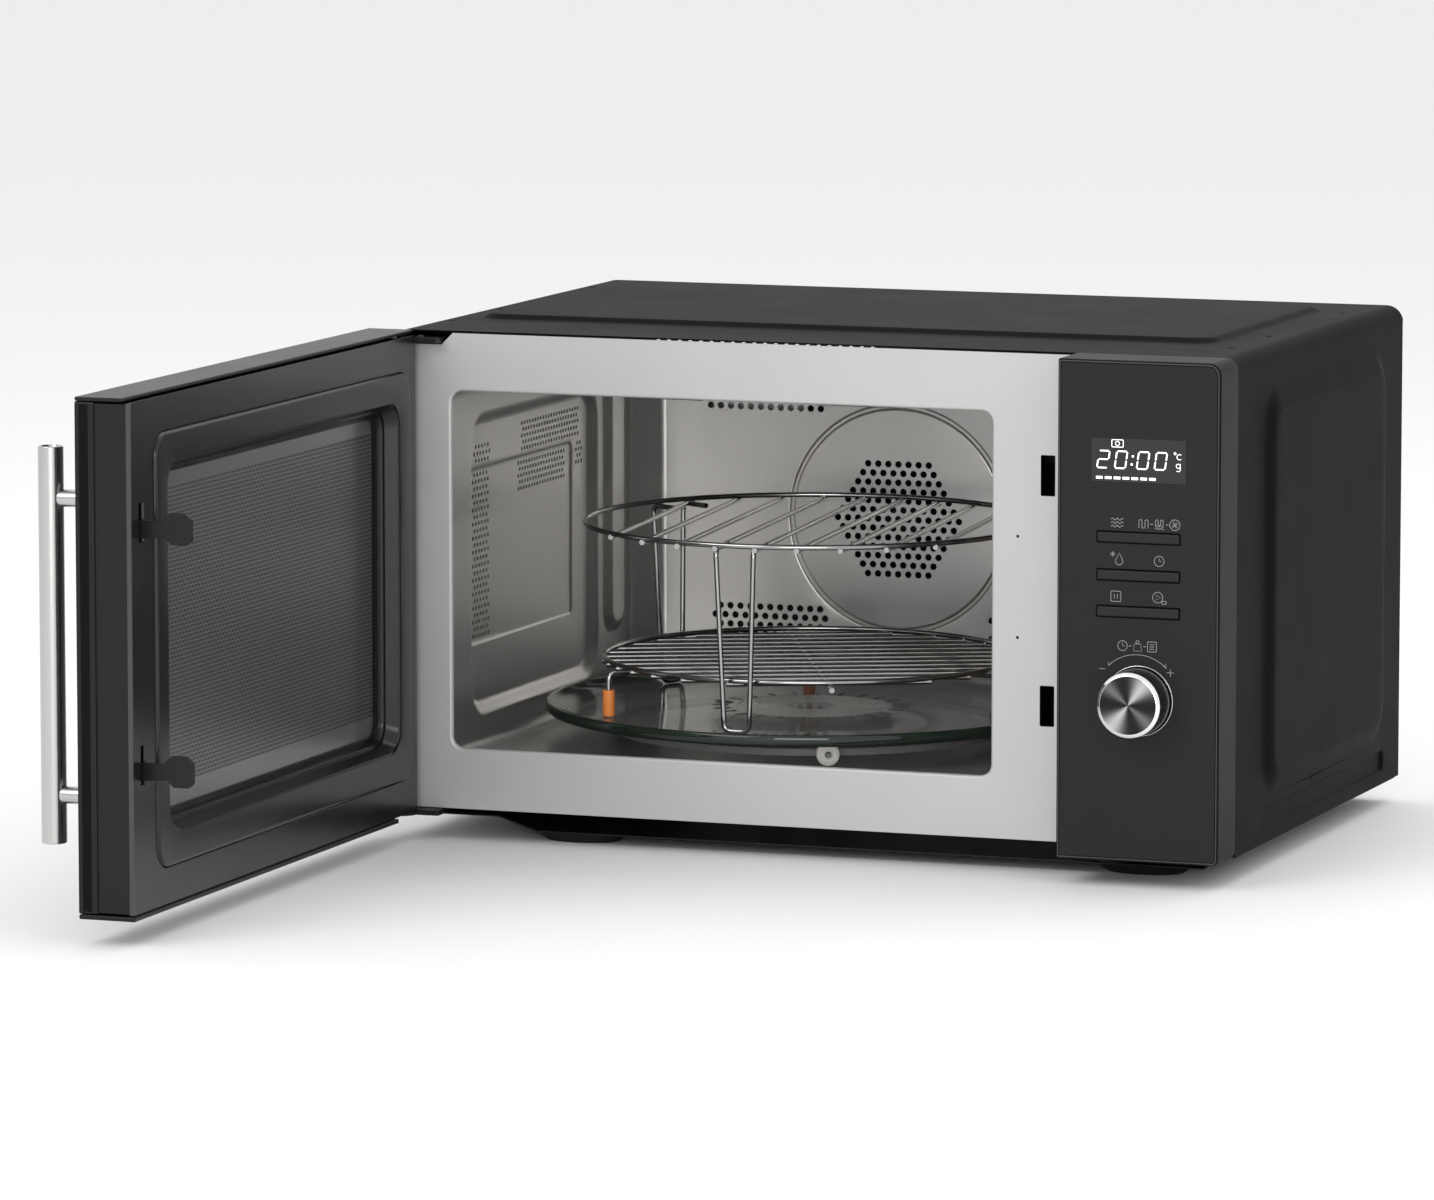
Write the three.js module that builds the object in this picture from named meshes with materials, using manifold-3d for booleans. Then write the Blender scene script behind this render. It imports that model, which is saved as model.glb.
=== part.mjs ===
// Countertop combination microwave oven, built as an assembly of separate pieces.
// Millimetres, +Z up. X runs across the front (control panel at +X), Y runs into the
// cabinet, and the stored pose has the door swung open to 90 degrees.
// Inside this file x = 0 is the cabinet's left side, y = 0 the front face plate and z = 0
// the lower edge of the outer cover. The last lines move the whole object so that the
// middle of its footprint is the origin.
import * as THREE from 'three';
import { mergeVertices } from 'three/addons/utils/BufferGeometryUtils.js';
import Module from 'manifold-3d';

const wasm = await Module();
wasm.setup();

// ---- driving dimensions -------------------------------------------------------------
const GAP = 0.3;                     // clearance between neighbouring pieces
const SHEET = 1;                     // pressed steel thickness
const CAB = { w: 513, d: 342, h: 284, r: 10 };
const FOOT_H = 6.5;                  // rubber below the base pan
const PAN_DROP = 8;                  // base pan below the cover edge
const OPEN = { x0: 36, x1: 367.5, z0: 39, z1: 249, r: 7 };     // cavity mouth
const CAV = { x0: 34, x1: 369.5, z0: 33, z1: 251, back: 319 };  // cavity inside
const PANEL_X = 417.3;               // left edge of the control panel
const PANEL_T = 34;                  // depth of panel and door in front of the cabinet
const HINGE = { x: 9.6, y: -10 };    // vertical door axis
const PIN_R = 3;
const DOOR = { u0: -8.1, u1: 406.2, z0: 2.5, z1: 281.6, front: -24, back: 5.7, face: 9 };
const BAND = { u0: 11.8, u1: 371.4, z0: 25, z1: 260 };          // raised sealing band
const WELL = { u0: 27.4, u1: 357.8, z0: 42, z1: 245 };          // window recess
const LATCH_Z = [72, 204];           // lower edge of each hook
const LATCH_U = 390.9;               // hooks' distance from the hinge axis
const TT = { x: (CAV.x0 + CAV.x1) / 2, y: (SHEET + GAP + CAV.back) / 2 };
const ROLLER = { r: 6.8, w: 7, ring: 118 };
const TRAY = { r: 157.5, z: CAV.z0 + GAP + 2 * 6.8 + GAP };
const WIRE = 1.6;                    // rack wire radius
const HIGH = { r: 134.5, z: 162 };
const LOW = { r: 122.8, z: 81.5 };
const FAN = { x: TT.x, z: 145, r: 69 };
const KNOB = { x: 466.2, z: 92, r: 18.8, h: 19.6 };
const BAR = { x: 465.3, w: 48.6, h: 6.2, z: [184.2, 162.8, 142.1] };
const DISPLAY = { x0: 437, x1: 493, z0: 215.2, z1: 240.2 };

// ---- materials ----------------------------------------------------------------------
const finish = (color, roughness, metalness, extra = {}) =>
  new THREE.MeshStandardMaterial({ color, roughness, metalness, ...extra });
const MAT = {
  black_paint: finish(0x232323, 0.5, 0.3),
  black_plastic: finish(0x1b1b1b, 0.55, 0),
  gloss_black: finish(0x0c0c0c, 0.15, 0),
  face_steel: finish(0xbdbdbd, 0.4, 0.6),
  cavity_steel: finish(0x9a9892, 0.32, 0.8),
  zinc_steel: finish(0x9fa3a6, 0.45, 0.8),
  chrome: finish(0xdadada, 0.12, 1),
  satin_steel: finish(0xc4c4c2, 0.3, 1),
  tray_glass: finish(0xa8b5ab, 0.08, 0, { transparent: true, opacity: 0.35 }),
  dark_glass: finish(0x101010, 0.06, 0, { transparent: true, opacity: 0.6 }),
  white_plastic: finish(0xe9e9e6, 0.5, 0),
  orange_silicone: finish(0xf08a3c, 0.6, 0),
  copper: finish(0xa8613a, 0.4, 0.8),
  board_green: finish(0x2b5a3c, 0.6, 0),
  mica: finish(0xb9ad8c, 0.7, 0),
  rubber: finish(0x1a1a1a, 0.85, 0),
};

// ---- solid helpers ------------------------------------------------------------------
function box(x0, x1, y0, y1, z0, z1) {
  const g = new THREE.BoxGeometry(x1 - x0, y1 - y0, z1 - z0);
  return g.translate((x0 + x1) / 2, (y0 + y1) / 2, (z0 + z1) / 2);
}

// Cylinder between two heights along an axis; c is its centre in the other two directions.
function cyl(axis, c, r, a, b, seg = 32, r2 = r) {
  const g = new THREE.CylinderGeometry(r2, r, b - a, seg);
  const m = (a + b) / 2;
  if (axis === 'x') return g.rotateZ(-Math.PI / 2).translate(m, c[0], c[1]);
  if (axis === 'y') return g.translate(c[0], m, c[1]);
  return g.rotateX(Math.PI / 2).translate(c[0], c[1], m);
}

function roundedRect(x0, x1, z0, z1, r, Kind = THREE.Shape) {
  const s = new Kind();
  s.moveTo(x0 + r, z0);
  s.lineTo(x1 - r, z0).absarc(x1 - r, z0 + r, r, -Math.PI / 2, 0, false);
  s.lineTo(x1, z1 - r).absarc(x1 - r, z1 - r, r, 0, Math.PI / 2, false);
  s.lineTo(x0 + r, z1).absarc(x0 + r, z1 - r, r, Math.PI / 2, Math.PI, false);
  s.lineTo(x0, z0 + r).absarc(x0 + r, z0 + r, r, Math.PI, 1.5 * Math.PI, false);
  return s;
}

// A shape drawn in X and Z, pushed from y0 to y1.
function slabY(shape, y0, y1, curve = 5) {
  const g = new THREE.ExtrudeGeometry(shape, { depth: y1 - y0, bevelEnabled: false, curveSegments: curve });
  return g.rotateX(Math.PI / 2).translate(0, y1, 0);
}

function polygon(points) {
  return new THREE.Shape(points.map(([a, b]) => new THREE.Vector2(a, b)));
}

// A shape drawn in X and Y, raised from z0 to z1.
function slabZ(shape, z0, z1, curve = 5) {
  const g = new THREE.ExtrudeGeometry(shape, { depth: z1 - z0, bevelEnabled: false, curveSegments: curve });
  return g.translate(0, 0, z0);
}

// Round wire along a list of points, with straight runs and sharp bends.
function wire(points, r, seg = 6) {
  const path = new THREE.CurvePath();
  for (let i = 1; i < points.length; i++) {
    path.add(new THREE.LineCurve3(new THREE.Vector3(...points[i - 1]), new THREE.Vector3(...points[i])));
  }
  const parts = path.curves.map((c) => {
    const d = c.v2.clone().sub(c.v1);
    const g = new THREE.CylinderGeometry(r, r, d.length() + 0.8 * r, seg);
    const turn = new THREE.Quaternion().setFromUnitVectors(new THREE.Vector3(0, 1, 0), d.clone().normalize());
    return g.applyQuaternion(turn).translate(...c.v1.clone().add(c.v2).multiplyScalar(0.5).toArray());
  });
  return parts.length > 1 ? join(...parts) : parts[0];
}

// Profile of [radius, height] pairs turned about a vertical axis.
function turn(profile, seg = 48, x = 0, y = 0, z = 0) {
  const g = new THREE.LatheGeometry(profile.map(([r, h]) => new THREE.Vector2(r, h)), seg);
  return g.rotateX(Math.PI / 2).translate(x, y, z);
}

function ringWire(radius, r, x, y, z, seg = 48, sides = 6) {
  const profile = [];
  for (let i = 0; i <= sides; i++) {
    const a = (2 * Math.PI * i) / sides;
    profile.push([radius + r * Math.cos(a), r * Math.sin(a)]);
  }
  profile[sides] = profile[0];
  return turn(profile, seg, x, y, z);
}

function solid(geometry) {
  const g = geometry.clone();
  g.deleteAttribute('normal');
  g.deleteAttribute('uv');
  const merged = mergeVertices(g, 1e-4);
  const mesh = new wasm.Mesh({
    numProp: 3,
    vertProperties: new Float32Array(merged.attributes.position.array),
    triVerts: new Uint32Array(merged.index.array),
  });
  return new wasm.Manifold(mesh);
}

function geometryOf(manifold) {
  const mesh = manifold.getMesh();
  const g = new THREE.BufferGeometry();
  g.setAttribute('position', new THREE.BufferAttribute(new Float32Array(mesh.vertProperties), 3));
  g.setIndex(new THREE.BufferAttribute(new Uint32Array(mesh.triVerts), 1));
  const flat = g.toNonIndexed();
  flat.computeVertexNormals();
  return flat;
}

const join = (...parts) => geometryOf(parts.map(solid).reduce((a, b) => a.add(b)));
const cut = (base, ...tools) => geometryOf(tools.map(solid).reduce((a, b) => a.subtract(b), solid(base)));

const object = new THREE.Group();
object.name = 'microwave_oven';

function part(parent, name, geometry, material) {
  const mesh = new THREE.Mesh(geometry, MAT[material]);
  mesh.name = name;
  mesh.userData.slot = material;
  parent.add(mesh);
  return mesh;
}

function group(name, parent = object) {
  const g = new THREE.Group();
  g.name = name;
  parent.add(g);
  return g;
}

// ---- cabinet ------------------------------------------------------------------------
const cabinet = group('cabinet');

// Wrap-around cover: both sides and the top in one bent sheet, with air slots on the right.
function coverOutline(inset) {
  const { w, h, r } = CAB;
  const a = inset, b = w - inset, t = h - inset, q = r - inset;
  const s = new THREE.Shape();
  s.moveTo(a, 0).lineTo(a, t - q).absarc(a + q, t - q, q, Math.PI, Math.PI / 2, true);
  s.lineTo(b - q, t).absarc(b - q, t - q, q, Math.PI / 2, 0, true).lineTo(b, 0);
  return s;
}
const coverShape = new THREE.Shape([
  ...coverOutline(0).getPoints(6), ...coverOutline(SHEET).getPoints(6).reverse(),
]);
part(cabinet, 'outer_cover', slabY(coverShape, 0, CAB.d), 'black_paint');

// Base pan: folded floor with sloped ends, drawn as one open channel.
const panTop = -GAP, panIn = 1.5;
const panSteps = [
  [panIn, panTop], [62, panTop], [86, -PAN_DROP], [427, -PAN_DROP], [433, -PAN_DROP],
  [492, -PAN_DROP], [503, panTop], [CAB.w - panIn, panTop],
];
const panShape = polygon([
  ...panSteps, ...panSteps.slice().reverse().map(([x, z]) => [x, z - SHEET]),
]);
const intake = [0, 1, 2, 3, 4, 5].map((i) => box(400 + 14 * i, 407 + 14 * i, 240, 300, -20, 5));
part(cabinet, 'base_pan', cut(slabY(panShape, 8, 337.6), ...intake), 'black_plastic');

const feetAt = [[108, 26], [452, 26], [108, 306], [452, 306]];
const footName = ['foot_front_left', 'foot_front_right', 'foot_rear_left', 'foot_rear_right'];
const footTop = -PAN_DROP - SHEET - GAP;
feetAt.forEach(([x, y], i) => {
  const f = new THREE.CylinderGeometry(30, 22, FOOT_H - SHEET - GAP + 0.3, 24).rotateX(Math.PI / 2);
  f.scale(1, 0.6, 1).translate(x, y, footTop - (FOOT_H - SHEET - GAP + 0.3) / 2);
  part(cabinet, footName[i], f, 'rubber');
});

// Rear panel with vent rows, a hole for the convection drive and one for the cord gland.
const rear = slabY(roundedRect(1.5, CAB.w - 1.5, 0.3, CAB.h - 1.5, CAB.r - 1.5), 338, 339);
const GLAND = { x: 478, z: 40 };
const rearVents = [];
for (let i = 0; i < 8; i++) rearVents.push(box(392 + 13 * i, 399 + 13 * i, 330, 345, 112, 208));
for (let i = 0; i < 6; i++) rearVents.push(box(60 + 10 * i, 65 + 10 * i, 330, 345, 244, 268));
part(cabinet, 'rear_panel', cut(rear, ...rearVents, cyl('y', [FAN.x, FAN.z], 40, 330, 345, 24),
  cyl('y', [GLAND.x, GLAND.z], 9.3, 330, 345, 24)), 'zinc_steel');

// Pressed cup that covers the convection drive behind the rear panel.
const BULGE = 24;
const bulge = cut(
  slabY(roundedRect(FAN.x - 62, FAN.x + 62, FAN.z - 62, FAN.z + 62, 18), 339.3, 339.3 + BULGE),
  slabY(roundedRect(FAN.x - 60.8, FAN.x + 60.8, FAN.z - 60.8, FAN.z + 60.8, 17), 339, 338.1 + BULGE),
  ...[-3, -2, -1, 0, 1, 2, 3].map((i) =>
    box(FAN.x - 36, FAN.x + 36, 345, 380, FAN.z + 13 * i - 2.2, FAN.z + 13 * i + 2.2)),
);
part(cabinet, 'rear_motor_cover', bulge, 'zinc_steel');

// Stainless face plate around the cavity mouth, with the two latch slots.
const plate = polygon([
  [1.4, 3.7], [416.9, 3.7], [416.9, CAB.h - 1.4], [37.4, CAB.h - 1.4], [30.5, 275.6], [1.4, 275.6],
]);
plate.holes.push(roundedRect(OPEN.x0, OPEN.x1, OPEN.z0, OPEN.z1, OPEN.r, THREE.Path));
LATCH_Z.forEach((z) => plate.holes.push(roundedRect(396.5, 405.2, z - 2.4, z + 21, 1, THREE.Path)));
part(cabinet, 'front_plate', slabY(plate, 0, SHEET), 'face_steel');

// Cavity: a folded tube open to the front, with its own back wall.
const tube = roundedRect(CAV.x0 - 1, CAV.x1 + 1, CAV.z0 - 1, CAV.z1 + 1, 6);
tube.holes.push(roundedRect(CAV.x0, CAV.x1, CAV.z0, CAV.z1, 5, THREE.Path));
part(cabinet, 'cavity_liner', cut(slabY(tube, SHEET + GAP, CAV.back, 4),
  cyl('z', [TT.x, TT.y], 8, CAV.z0 - 5, CAV.z0 + 5, 24)), 'cavity_steel');
const fanHoles = [];
for (let row = -2; row <= 2; row++) {
  for (let i = 0; i < 5 - Math.abs(row); i++) {
    const x = FAN.x + (i - (4 - Math.abs(row)) / 2) * 17;
    fanHoles.push(cyl('y', [x, FAN.z + row * 14.7], 5.5, 300, 330, 8));
  }
}
part(cabinet, 'cavity_back', cut(
  slabY(roundedRect(CAV.x0 - 1, CAV.x1 + 1, CAV.z0 - 1, CAV.z1 + 1, 6), CAV.back + GAP, CAV.back + GAP + 1),
  ...fanHoles), 'cavity_steel');
part(cabinet, 'waveguide_cover', box(CAV.x1 - 1.1, CAV.x1 - GAP, 110, 200, 110, 190), 'mica');

// Grill element: a long loop of sheathed tube under the cavity ceiling.
const gz = CAV.z1 - 7;
const heaterClips = [142.5, 260.5].map((x) => join(box(x - 26, x + 26, 118, 126, gz + 2.4, gz + 4.4),
  box(x - 4, x + 4, 118, 126, gz + 4, CAV.z1 - GAP)));
part(cabinet, 'grill_heater', join(wire([
  [120, 315, gz], [120, 70, gz], [165, 70, gz], [165, 270, gz], [238, 270, gz], [238, 70, gz],
  [283, 70, gz], [283, 315, gz],
], 3.2, 8), ...heaterClips), 'zinc_steel');

// Convection drive: housing, ring element and motor (the impeller is further down).
const HY = CAV.back + GAP + 1 + GAP;
part(cabinet, 'fan_housing', cut(
  cyl('y', [FAN.x, FAN.z], 90, HY, 337.4, 40),
  cyl('y', [FAN.x, FAN.z], 89, HY - 1, 336.4, 40),
  cyl('y', [FAN.x, FAN.z], 6, HY, 340, 16)), 'zinc_steel');
part(cabinet, 'ring_heater', ringWire(78, 3, 0, 0, 0, 40, 8).rotateX(Math.PI / 2)
  .translate(FAN.x, 328.5, FAN.z), 'zinc_steel');
part(cabinet, 'convection_motor', cut(cyl('y', [FAN.x, FAN.z], 27, 341, 361, 24),
  cyl('y', [FAN.x, FAN.z], 3.4, 335, 352, 16)), 'zinc_steel');

// Right-hand compartment: microwave source, supply and cooling.
part(cabinet, 'waveguide', box(CAV.x1 + 1.3, 388, 112, 198, 112, 236), 'zinc_steel');
const magnetronFins = [0, 1, 2, 3, 4, 5].map((i) => box(390, 452, 118, 192, 158 + 11 * i, 160 + 11 * i));
part(cabinet, 'magnetron', join(cyl('z', [421, 155], 20, 132, 226, 24), box(388.3, 454, 116, 118.5, 140, 226),
  box(388.3, 454, 191.5, 194, 140, 226), ...magnetronFins), 'zinc_steel');
const PAN_TOP = -PAN_DROP + GAP;
part(cabinet, 'transformer', join(box(392, 482, 206, 262, PAN_TOP, 68), box(404, 470, 192, 276, 8, 54)),
  'copper');
part(cabinet, 'capacitor', slabZ(roundedRect(396, 430, 70, 150, 16), PAN_TOP, 46), 'zinc_steel');
const FANC = { x: 447, z: 160 };
part(cabinet, 'cooling_fan_motor', cut(join(
  cut(box(FANC.x - 58, FANC.x + 58, 310, 334, FANC.z - 58, FANC.z + 58),
    cyl('y', [FANC.x, FANC.z], 53, 300, 340, 40)),
  box(FANC.x - 55, FANC.x + 55, 306, 311, FANC.z - 6, FANC.z + 6),
  cyl('y', [FANC.x, FANC.z], 22, 286, 308, 24)), cyl('y', [FANC.x, FANC.z], 2.4, 296, 312, 12)), 'black_plastic');
part(cabinet, 'oven_lamp', join(cyl('x', [60, 225], 9, CAV.x1 + 1.3, 380, 16), cyl('x', [60, 225], 13, 379, 398, 16)),
  'white_plastic');

// Turntable drive under the cavity floor.
part(cabinet, 'turntable_motor', cut(cyl('z', [TT.x, TT.y], 25, 8, CAV.z0 - SHEET - GAP, 32),
  cyl('z', [TT.x, TT.y], 3.8, 20, CAV.z0, 16)), 'zinc_steel');

// Interlock: guide plate behind the latch slots, carrying the three door switches.
part(cabinet, 'interlock_switches', join(box(389, 390.5, SHEET + GAP, 44, 46, 250),
  ...[46, 98, 230].map((z) => box(390, 407, 6, 27, z, z + 9.5))), 'black_plastic');

// Door hinges: a leaf behind the face plate with an arm that reaches out to the pin.
function hingeLeaf(zArm, zFlange0, zFlange1, zPin0, zPin1) {
  return join(slabZ(roundedRect(4.4, 31, HINGE.y, 4, 1), zArm, zArm + 3),
    cyl('z', [HINGE.x, HINGE.y], 7.8, zArm, zArm + 3, 28), box(4.4, 31, 1.4, 3.4, zFlange0, zFlange1),
    cyl('z', [HINGE.x, HINGE.y], PIN_R, zPin0, zPin1, 24));
}
part(cabinet, 'hinge_bracket_top', hingeLeaf(277, 236, 280, 259, 281.4), 'black_paint');
part(cabinet, 'hinge_bracket_bottom', hingeLeaf(0.2, 0.2, 44, -0.6, 22), 'black_paint');

// ---- control panel ------------------------------------------------------------------
const control = group('control_panel');
const PX1 = CAB.w;
function panelOutline(inset, Kind = THREE.Shape) {
  const a = PANEL_X + inset, b = PX1 - inset, z0 = inset, z1 = CAB.h - inset;
  const rt = 7 - inset, rb = 3.5 - inset / 2;
  const s = new Kind();
  s.moveTo(a, z0).lineTo(b - rb, z0).absarc(b - rb, z0 + rb, rb, -Math.PI / 2, 0, false);
  s.lineTo(b, z1 - rt).absarc(b - rt, z1 - rt, rt, 0, Math.PI / 2, false).lineTo(a, z1);
  return s;
}
const barHoles = (y0, y1, slack) => BAR.z.map((z) =>
  box(BAR.x - BAR.w / 2 - slack, BAR.x + BAR.w / 2 + slack, y0, y1, z - BAR.h / 2 - slack, z + BAR.h / 2 + slack));
const housing = cut(
  slabY(panelOutline(0), -PANEL_T, -GAP),
  slabY(panelOutline(2), -PANEL_T + 3.3, 5),                  // hollow behind the wall
  slabY(panelOutline(1.9), -PANEL_T - 5, -PANEL_T + 1.3),     // seat for the face
  box(DISPLAY.x0 - 0.5, DISPLAY.x1 + 0.5, -40, -20, DISPLAY.z0 - 0.5, DISPLAY.z1 + 0.5),
  cyl('y', [KNOB.x, KNOB.z], 8, -40, -20, 24),
  ...barHoles(-40, -20, 0.5),
);
part(control, 'control_housing', housing, 'black_plastic');
part(control, 'control_face', cut(
  slabY(panelOutline(2.2), -PANEL_T + 0.1, -PANEL_T + 1),
  box(DISPLAY.x0, DISPLAY.x1, -40, -20, DISPLAY.z0, DISPLAY.z1),
  cyl('y', [KNOB.x, KNOB.z], 8, -40, -20, 24),
  ...barHoles(-40, -20, 0.45)), 'black_paint');
part(control, 'display_window', box(DISPLAY.x0 + GAP, DISPLAY.x1 - GAP, -PANEL_T + 0.2, -PANEL_T + 3,
  DISPLAY.z0 + GAP, DISPLAY.z1 - GAP), 'gloss_black');
// Circuit board with the display block, the knob's encoder and two key switches per bar.
const onBoard = [
  box(DISPLAY.x0 + 2, DISPLAY.x1 - 2, -PANEL_T + 3.3, -24.5, DISPLAY.z0 + 2, DISPLAY.z1 - 2),
  box(KNOB.x - 7, KNOB.x + 7, -30.4, -24.5, KNOB.z - 7, KNOB.z + 7),
  ...BAR.z.flatMap((z) => [-16, 16].map((s) =>
    box(BAR.x + s - 3, BAR.x + s + 3, -27.6, -24.5, z - 3, z + 3))),
];
part(control, 'control_board', cut(join(box(424, 506, -24.7, -23, 60, 262), ...onBoard),
  cyl('y', [KNOB.x, KNOB.z], 3.3, -35, -27, 20)), 'board_green');
part(control, 'knob_bezel', cut(cyl('y', [KNOB.x, KNOB.z], 20.4, -PANEL_T - 1.4, -PANEL_T - 0.2, 48),
  cyl('y', [KNOB.x, KNOB.z], 9, -40, -30, 24)), 'black_plastic');

// ---- knob ---------------------------------------------------------------------------
const knob = group('selector_knob');
const knobBack = -PANEL_T - 1.4 - GAP;
part(knob, 'knob', join(
  cyl('y', [KNOB.x, KNOB.z], KNOB.r, knobBack - KNOB.h + 1.4, knobBack, 48),
  cyl('y', [KNOB.x, KNOB.z], KNOB.r - 1.4, knobBack - KNOB.h, knobBack - KNOB.h + 1.4, 48, KNOB.r),
  cyl('y', [KNOB.x, KNOB.z], 3, knobBack - 2, -27.3, 20)), 'satin_steel');

// ---- rocker keys --------------------------------------------------------------------
BAR.z.forEach((z, i) => {
  const g = group(`key_${i + 1}`);
  part(g, `key_bar_${i + 1}`, box(BAR.x - BAR.w / 2, BAR.x + BAR.w / 2, -PANEL_T - 1.2, -28.8,
    z - BAR.h / 2, z + BAR.h / 2), 'black_plastic');
});

// ---- cooling and convection impellers -----------------------------------------------
function impeller(parent, name, x, z, hubR, tipR, y0, y1, shaft0, shaft1, shaftR, blades, material) {
  const fins = [];
  for (let i = 0; i < blades; i++) {
    const g = box(hubR - 2, tipR, -0.6, 0.6, -(y1 - y0) / 2, (y1 - y0) / 2).rotateX(0.6);
    fins.push(g.rotateX(Math.PI / 2).rotateY((2 * Math.PI * i) / blades).translate(x, (y0 + y1) / 2, z));
  }
  part(parent, name, join(cyl('y', [x, z], hubR, y0, y1, 24), ...fins,
    cyl('y', [x, z], shaftR, shaft0, shaft1, 16)), material);
}
impeller(group('convection_fan'), 'convection_impeller', FAN.x, FAN.z, 12, 68,
  323, 333.5, 322, 351, 2.9, 8, 'zinc_steel');
impeller(group('cooling_fan'), 'cooling_impeller', FANC.x, FANC.z, 14, 50,
  321, 332, 300, 333, 2, 7, 'black_plastic');

// ---- turntable ----------------------------------------------------------------------
const table = group('turntable');
const lobes = [0, 1, 2].map((i) => box(0, 22, -4, 4, 37.5, TRAY.z - GAP)
  .rotateZ((2 * Math.PI * i) / 3).translate(TT.x, TT.y, 0));
part(table, 'drive_coupler', join(cyl('z', [TT.x, TT.y], 3.5, CAV.z0 - 12, 38, 20),
  cyl('z', [TT.x, TT.y], 9, 36, TRAY.z - GAP, 24), ...lobes), 'white_plastic');

// Glass tray: flat floor, upswept edge and a thick rolled rim.
part(table, 'glass_tray', turn([
  [0, 0], [138, 0], [146, 1.6], [153, 2.4], [156.6, 3.2], [TRAY.r, 5], [157.4, 7.2], [155, 8.4],
  [151.5, 8], [147, 6], [141, 4.4], [134, 3.8], [0, 3.8],
], 48, TT.x, TT.y, TRAY.z), 'tray_glass');
const TRAY_TOP = TRAY.z + 3.8;

const RAD = Math.PI / 180;
const around = (r, deg, z) => [TT.x + r * Math.cos(deg * RAD), TT.y + r * Math.sin(deg * RAD), z];

// Straight rods across a ring, all in one direction, resting in the ring.
function rods(radius, z, direction, spacing, count, overhang = 0) {
  const list = [];
  const c = Math.cos(direction * RAD), s = Math.sin(direction * RAD);
  for (let i = 0; i < count; i++) {
    const off = (i - (count - 1) / 2) * spacing;
    const half = Math.sqrt(radius * radius - off * off) + overhang;
    list.push(wire([
      [TT.x - half * c - off * s, TT.y - half * s + off * c, z],
      [TT.x + half * c - off * s, TT.y + half * s + off * c, z],
    ], WIRE, 6));
  }
  return list;
}

// High rack: ring, nine rods and three U-shaped legs.
const highLegs = [-90, 30, 150].map((a) => wire([
  around(112, a - 5, HIGH.z - 2), around(HIGH.r, a - 5, HIGH.z - 2), around(129.5, a - 3.4, TRAY_TOP + GAP + WIRE),
  around(129.5, a + 3.4, TRAY_TOP + GAP + WIRE), around(HIGH.r, a + 5, HIGH.z - 2), around(112, a + 5, HIGH.z - 2),
], WIRE, 6));
part(table, 'high_rack', join(ringWire(HIGH.r, WIRE, TT.x, TT.y, HIGH.z),
  ...rods(HIGH.r, HIGH.z - 2, 95.6, 24.4, 9, 2), ...highLegs), 'chrome');

// Low rack: ring, thirteen rods, a cross bar under them and three legs in silicone sleeves.
const LOW_LEGS = [-138.5, -10, 110];
const sleeveTop = TRAY_TOP + 16;
const lowLegs = LOW_LEGS.map((a) => wire([
  around(90, a, LOW.z - 4), around(128.5, a, LOW.z - 4), around(128.5, a, sleeveTop - 8),
], WIRE, 6));
part(table, 'low_rack', join(ringWire(LOW.r, WIRE, TT.x, TT.y, LOW.z),
  ...rods(LOW.r, LOW.z - 2, 25, 18, 13, 2), ...rods(LOW.r, LOW.z - 4, 115, 1, 1, 4), ...lowLegs), 'chrome');
LOW_LEGS.forEach((a, i) => {
  const at = around(128.5, a, 0);
  part(table, `rack_sleeve_${i + 1}`, cut(cyl('z', at, 3.6, TRAY_TOP + GAP, sleeveTop, 16),
    cyl('z', at, WIRE + 0.05, sleeveTop - 9.8, sleeveTop + 5, 12)), 'orange_silicone');
});

// Roller ring with three wheels on radial stub axles.
const rollerZ = CAV.z0 + GAP + ROLLER.r;
const ringGroup = group('roller_ring');
const stubs = [-66, 54, 174];
part(ringGroup, 'roller_carrier', join(
  cut(cyl('z', [TT.x, TT.y], ROLLER.ring, rollerZ - 2, rollerZ + 2, 48),
    cyl('z', [TT.x, TT.y], ROLLER.ring - 6, rollerZ - 5, rollerZ + 5, 48)),
  ...stubs.map((a) => wire([around(ROLLER.ring - 2, a, rollerZ), around(131, a, rollerZ)], 1.5, 12))),
'white_plastic');
stubs.forEach((a, i) => {
  const g = group(`roller_${i + 1}`);
  const w = cut(cyl('x', [0, 0], ROLLER.r, 120.5, 120.5 + ROLLER.w, 32), cyl('x', [0, 0], 1.56, 110, 140, 16));
  part(g, `roller_wheel_${i + 1}`, w.rotateZ(a * RAD).translate(TT.x, TT.y, rollerZ), 'white_plastic');
});

// ---- door ---------------------------------------------------------------------------
// Drawn closed, in u (from the hinge axis along the front) and v (from the axis inwards),
// then hung on the axis and swung out to its stop.
const door = group('door');
door.position.set(HINGE.x, HINGE.y, 0);
door.rotation.z = -Math.PI / 2;
const D = DOOR;
const notch = (z0, z1) => box(-20, 37, -8, 20, z0, z1);
const pinBore = cyl('z', [0, 0], PIN_R + 0.08, -5, 300, 24);
const frameSolid = join(
  slabY(roundedRect(D.u0, D.u1, D.z0, D.z1, 1.5), D.front, -13, 3),
  box(D.u0 + 1.1, D.u1 - 1, -13.5, D.back, D.z0 + 1, D.z1 - 1),
);
part(door, 'door_frame', cut(
  frameSolid,
  box(D.u0 + 2.5, D.u1 - 2.5, -40, -19.8, D.z0 + 2.5, D.z1 - 2.5),     // glass seat
  box(24, 361.2, -30, 20, 38.6, 248.4),                                 // window
  box(LATCH_U - 6, LATCH_U + 6, -9, 20, 58, 246),                       // latch channel
  notch(273.6, 290), notch(-5, 8), pinBore,
), 'black_plastic');
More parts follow.
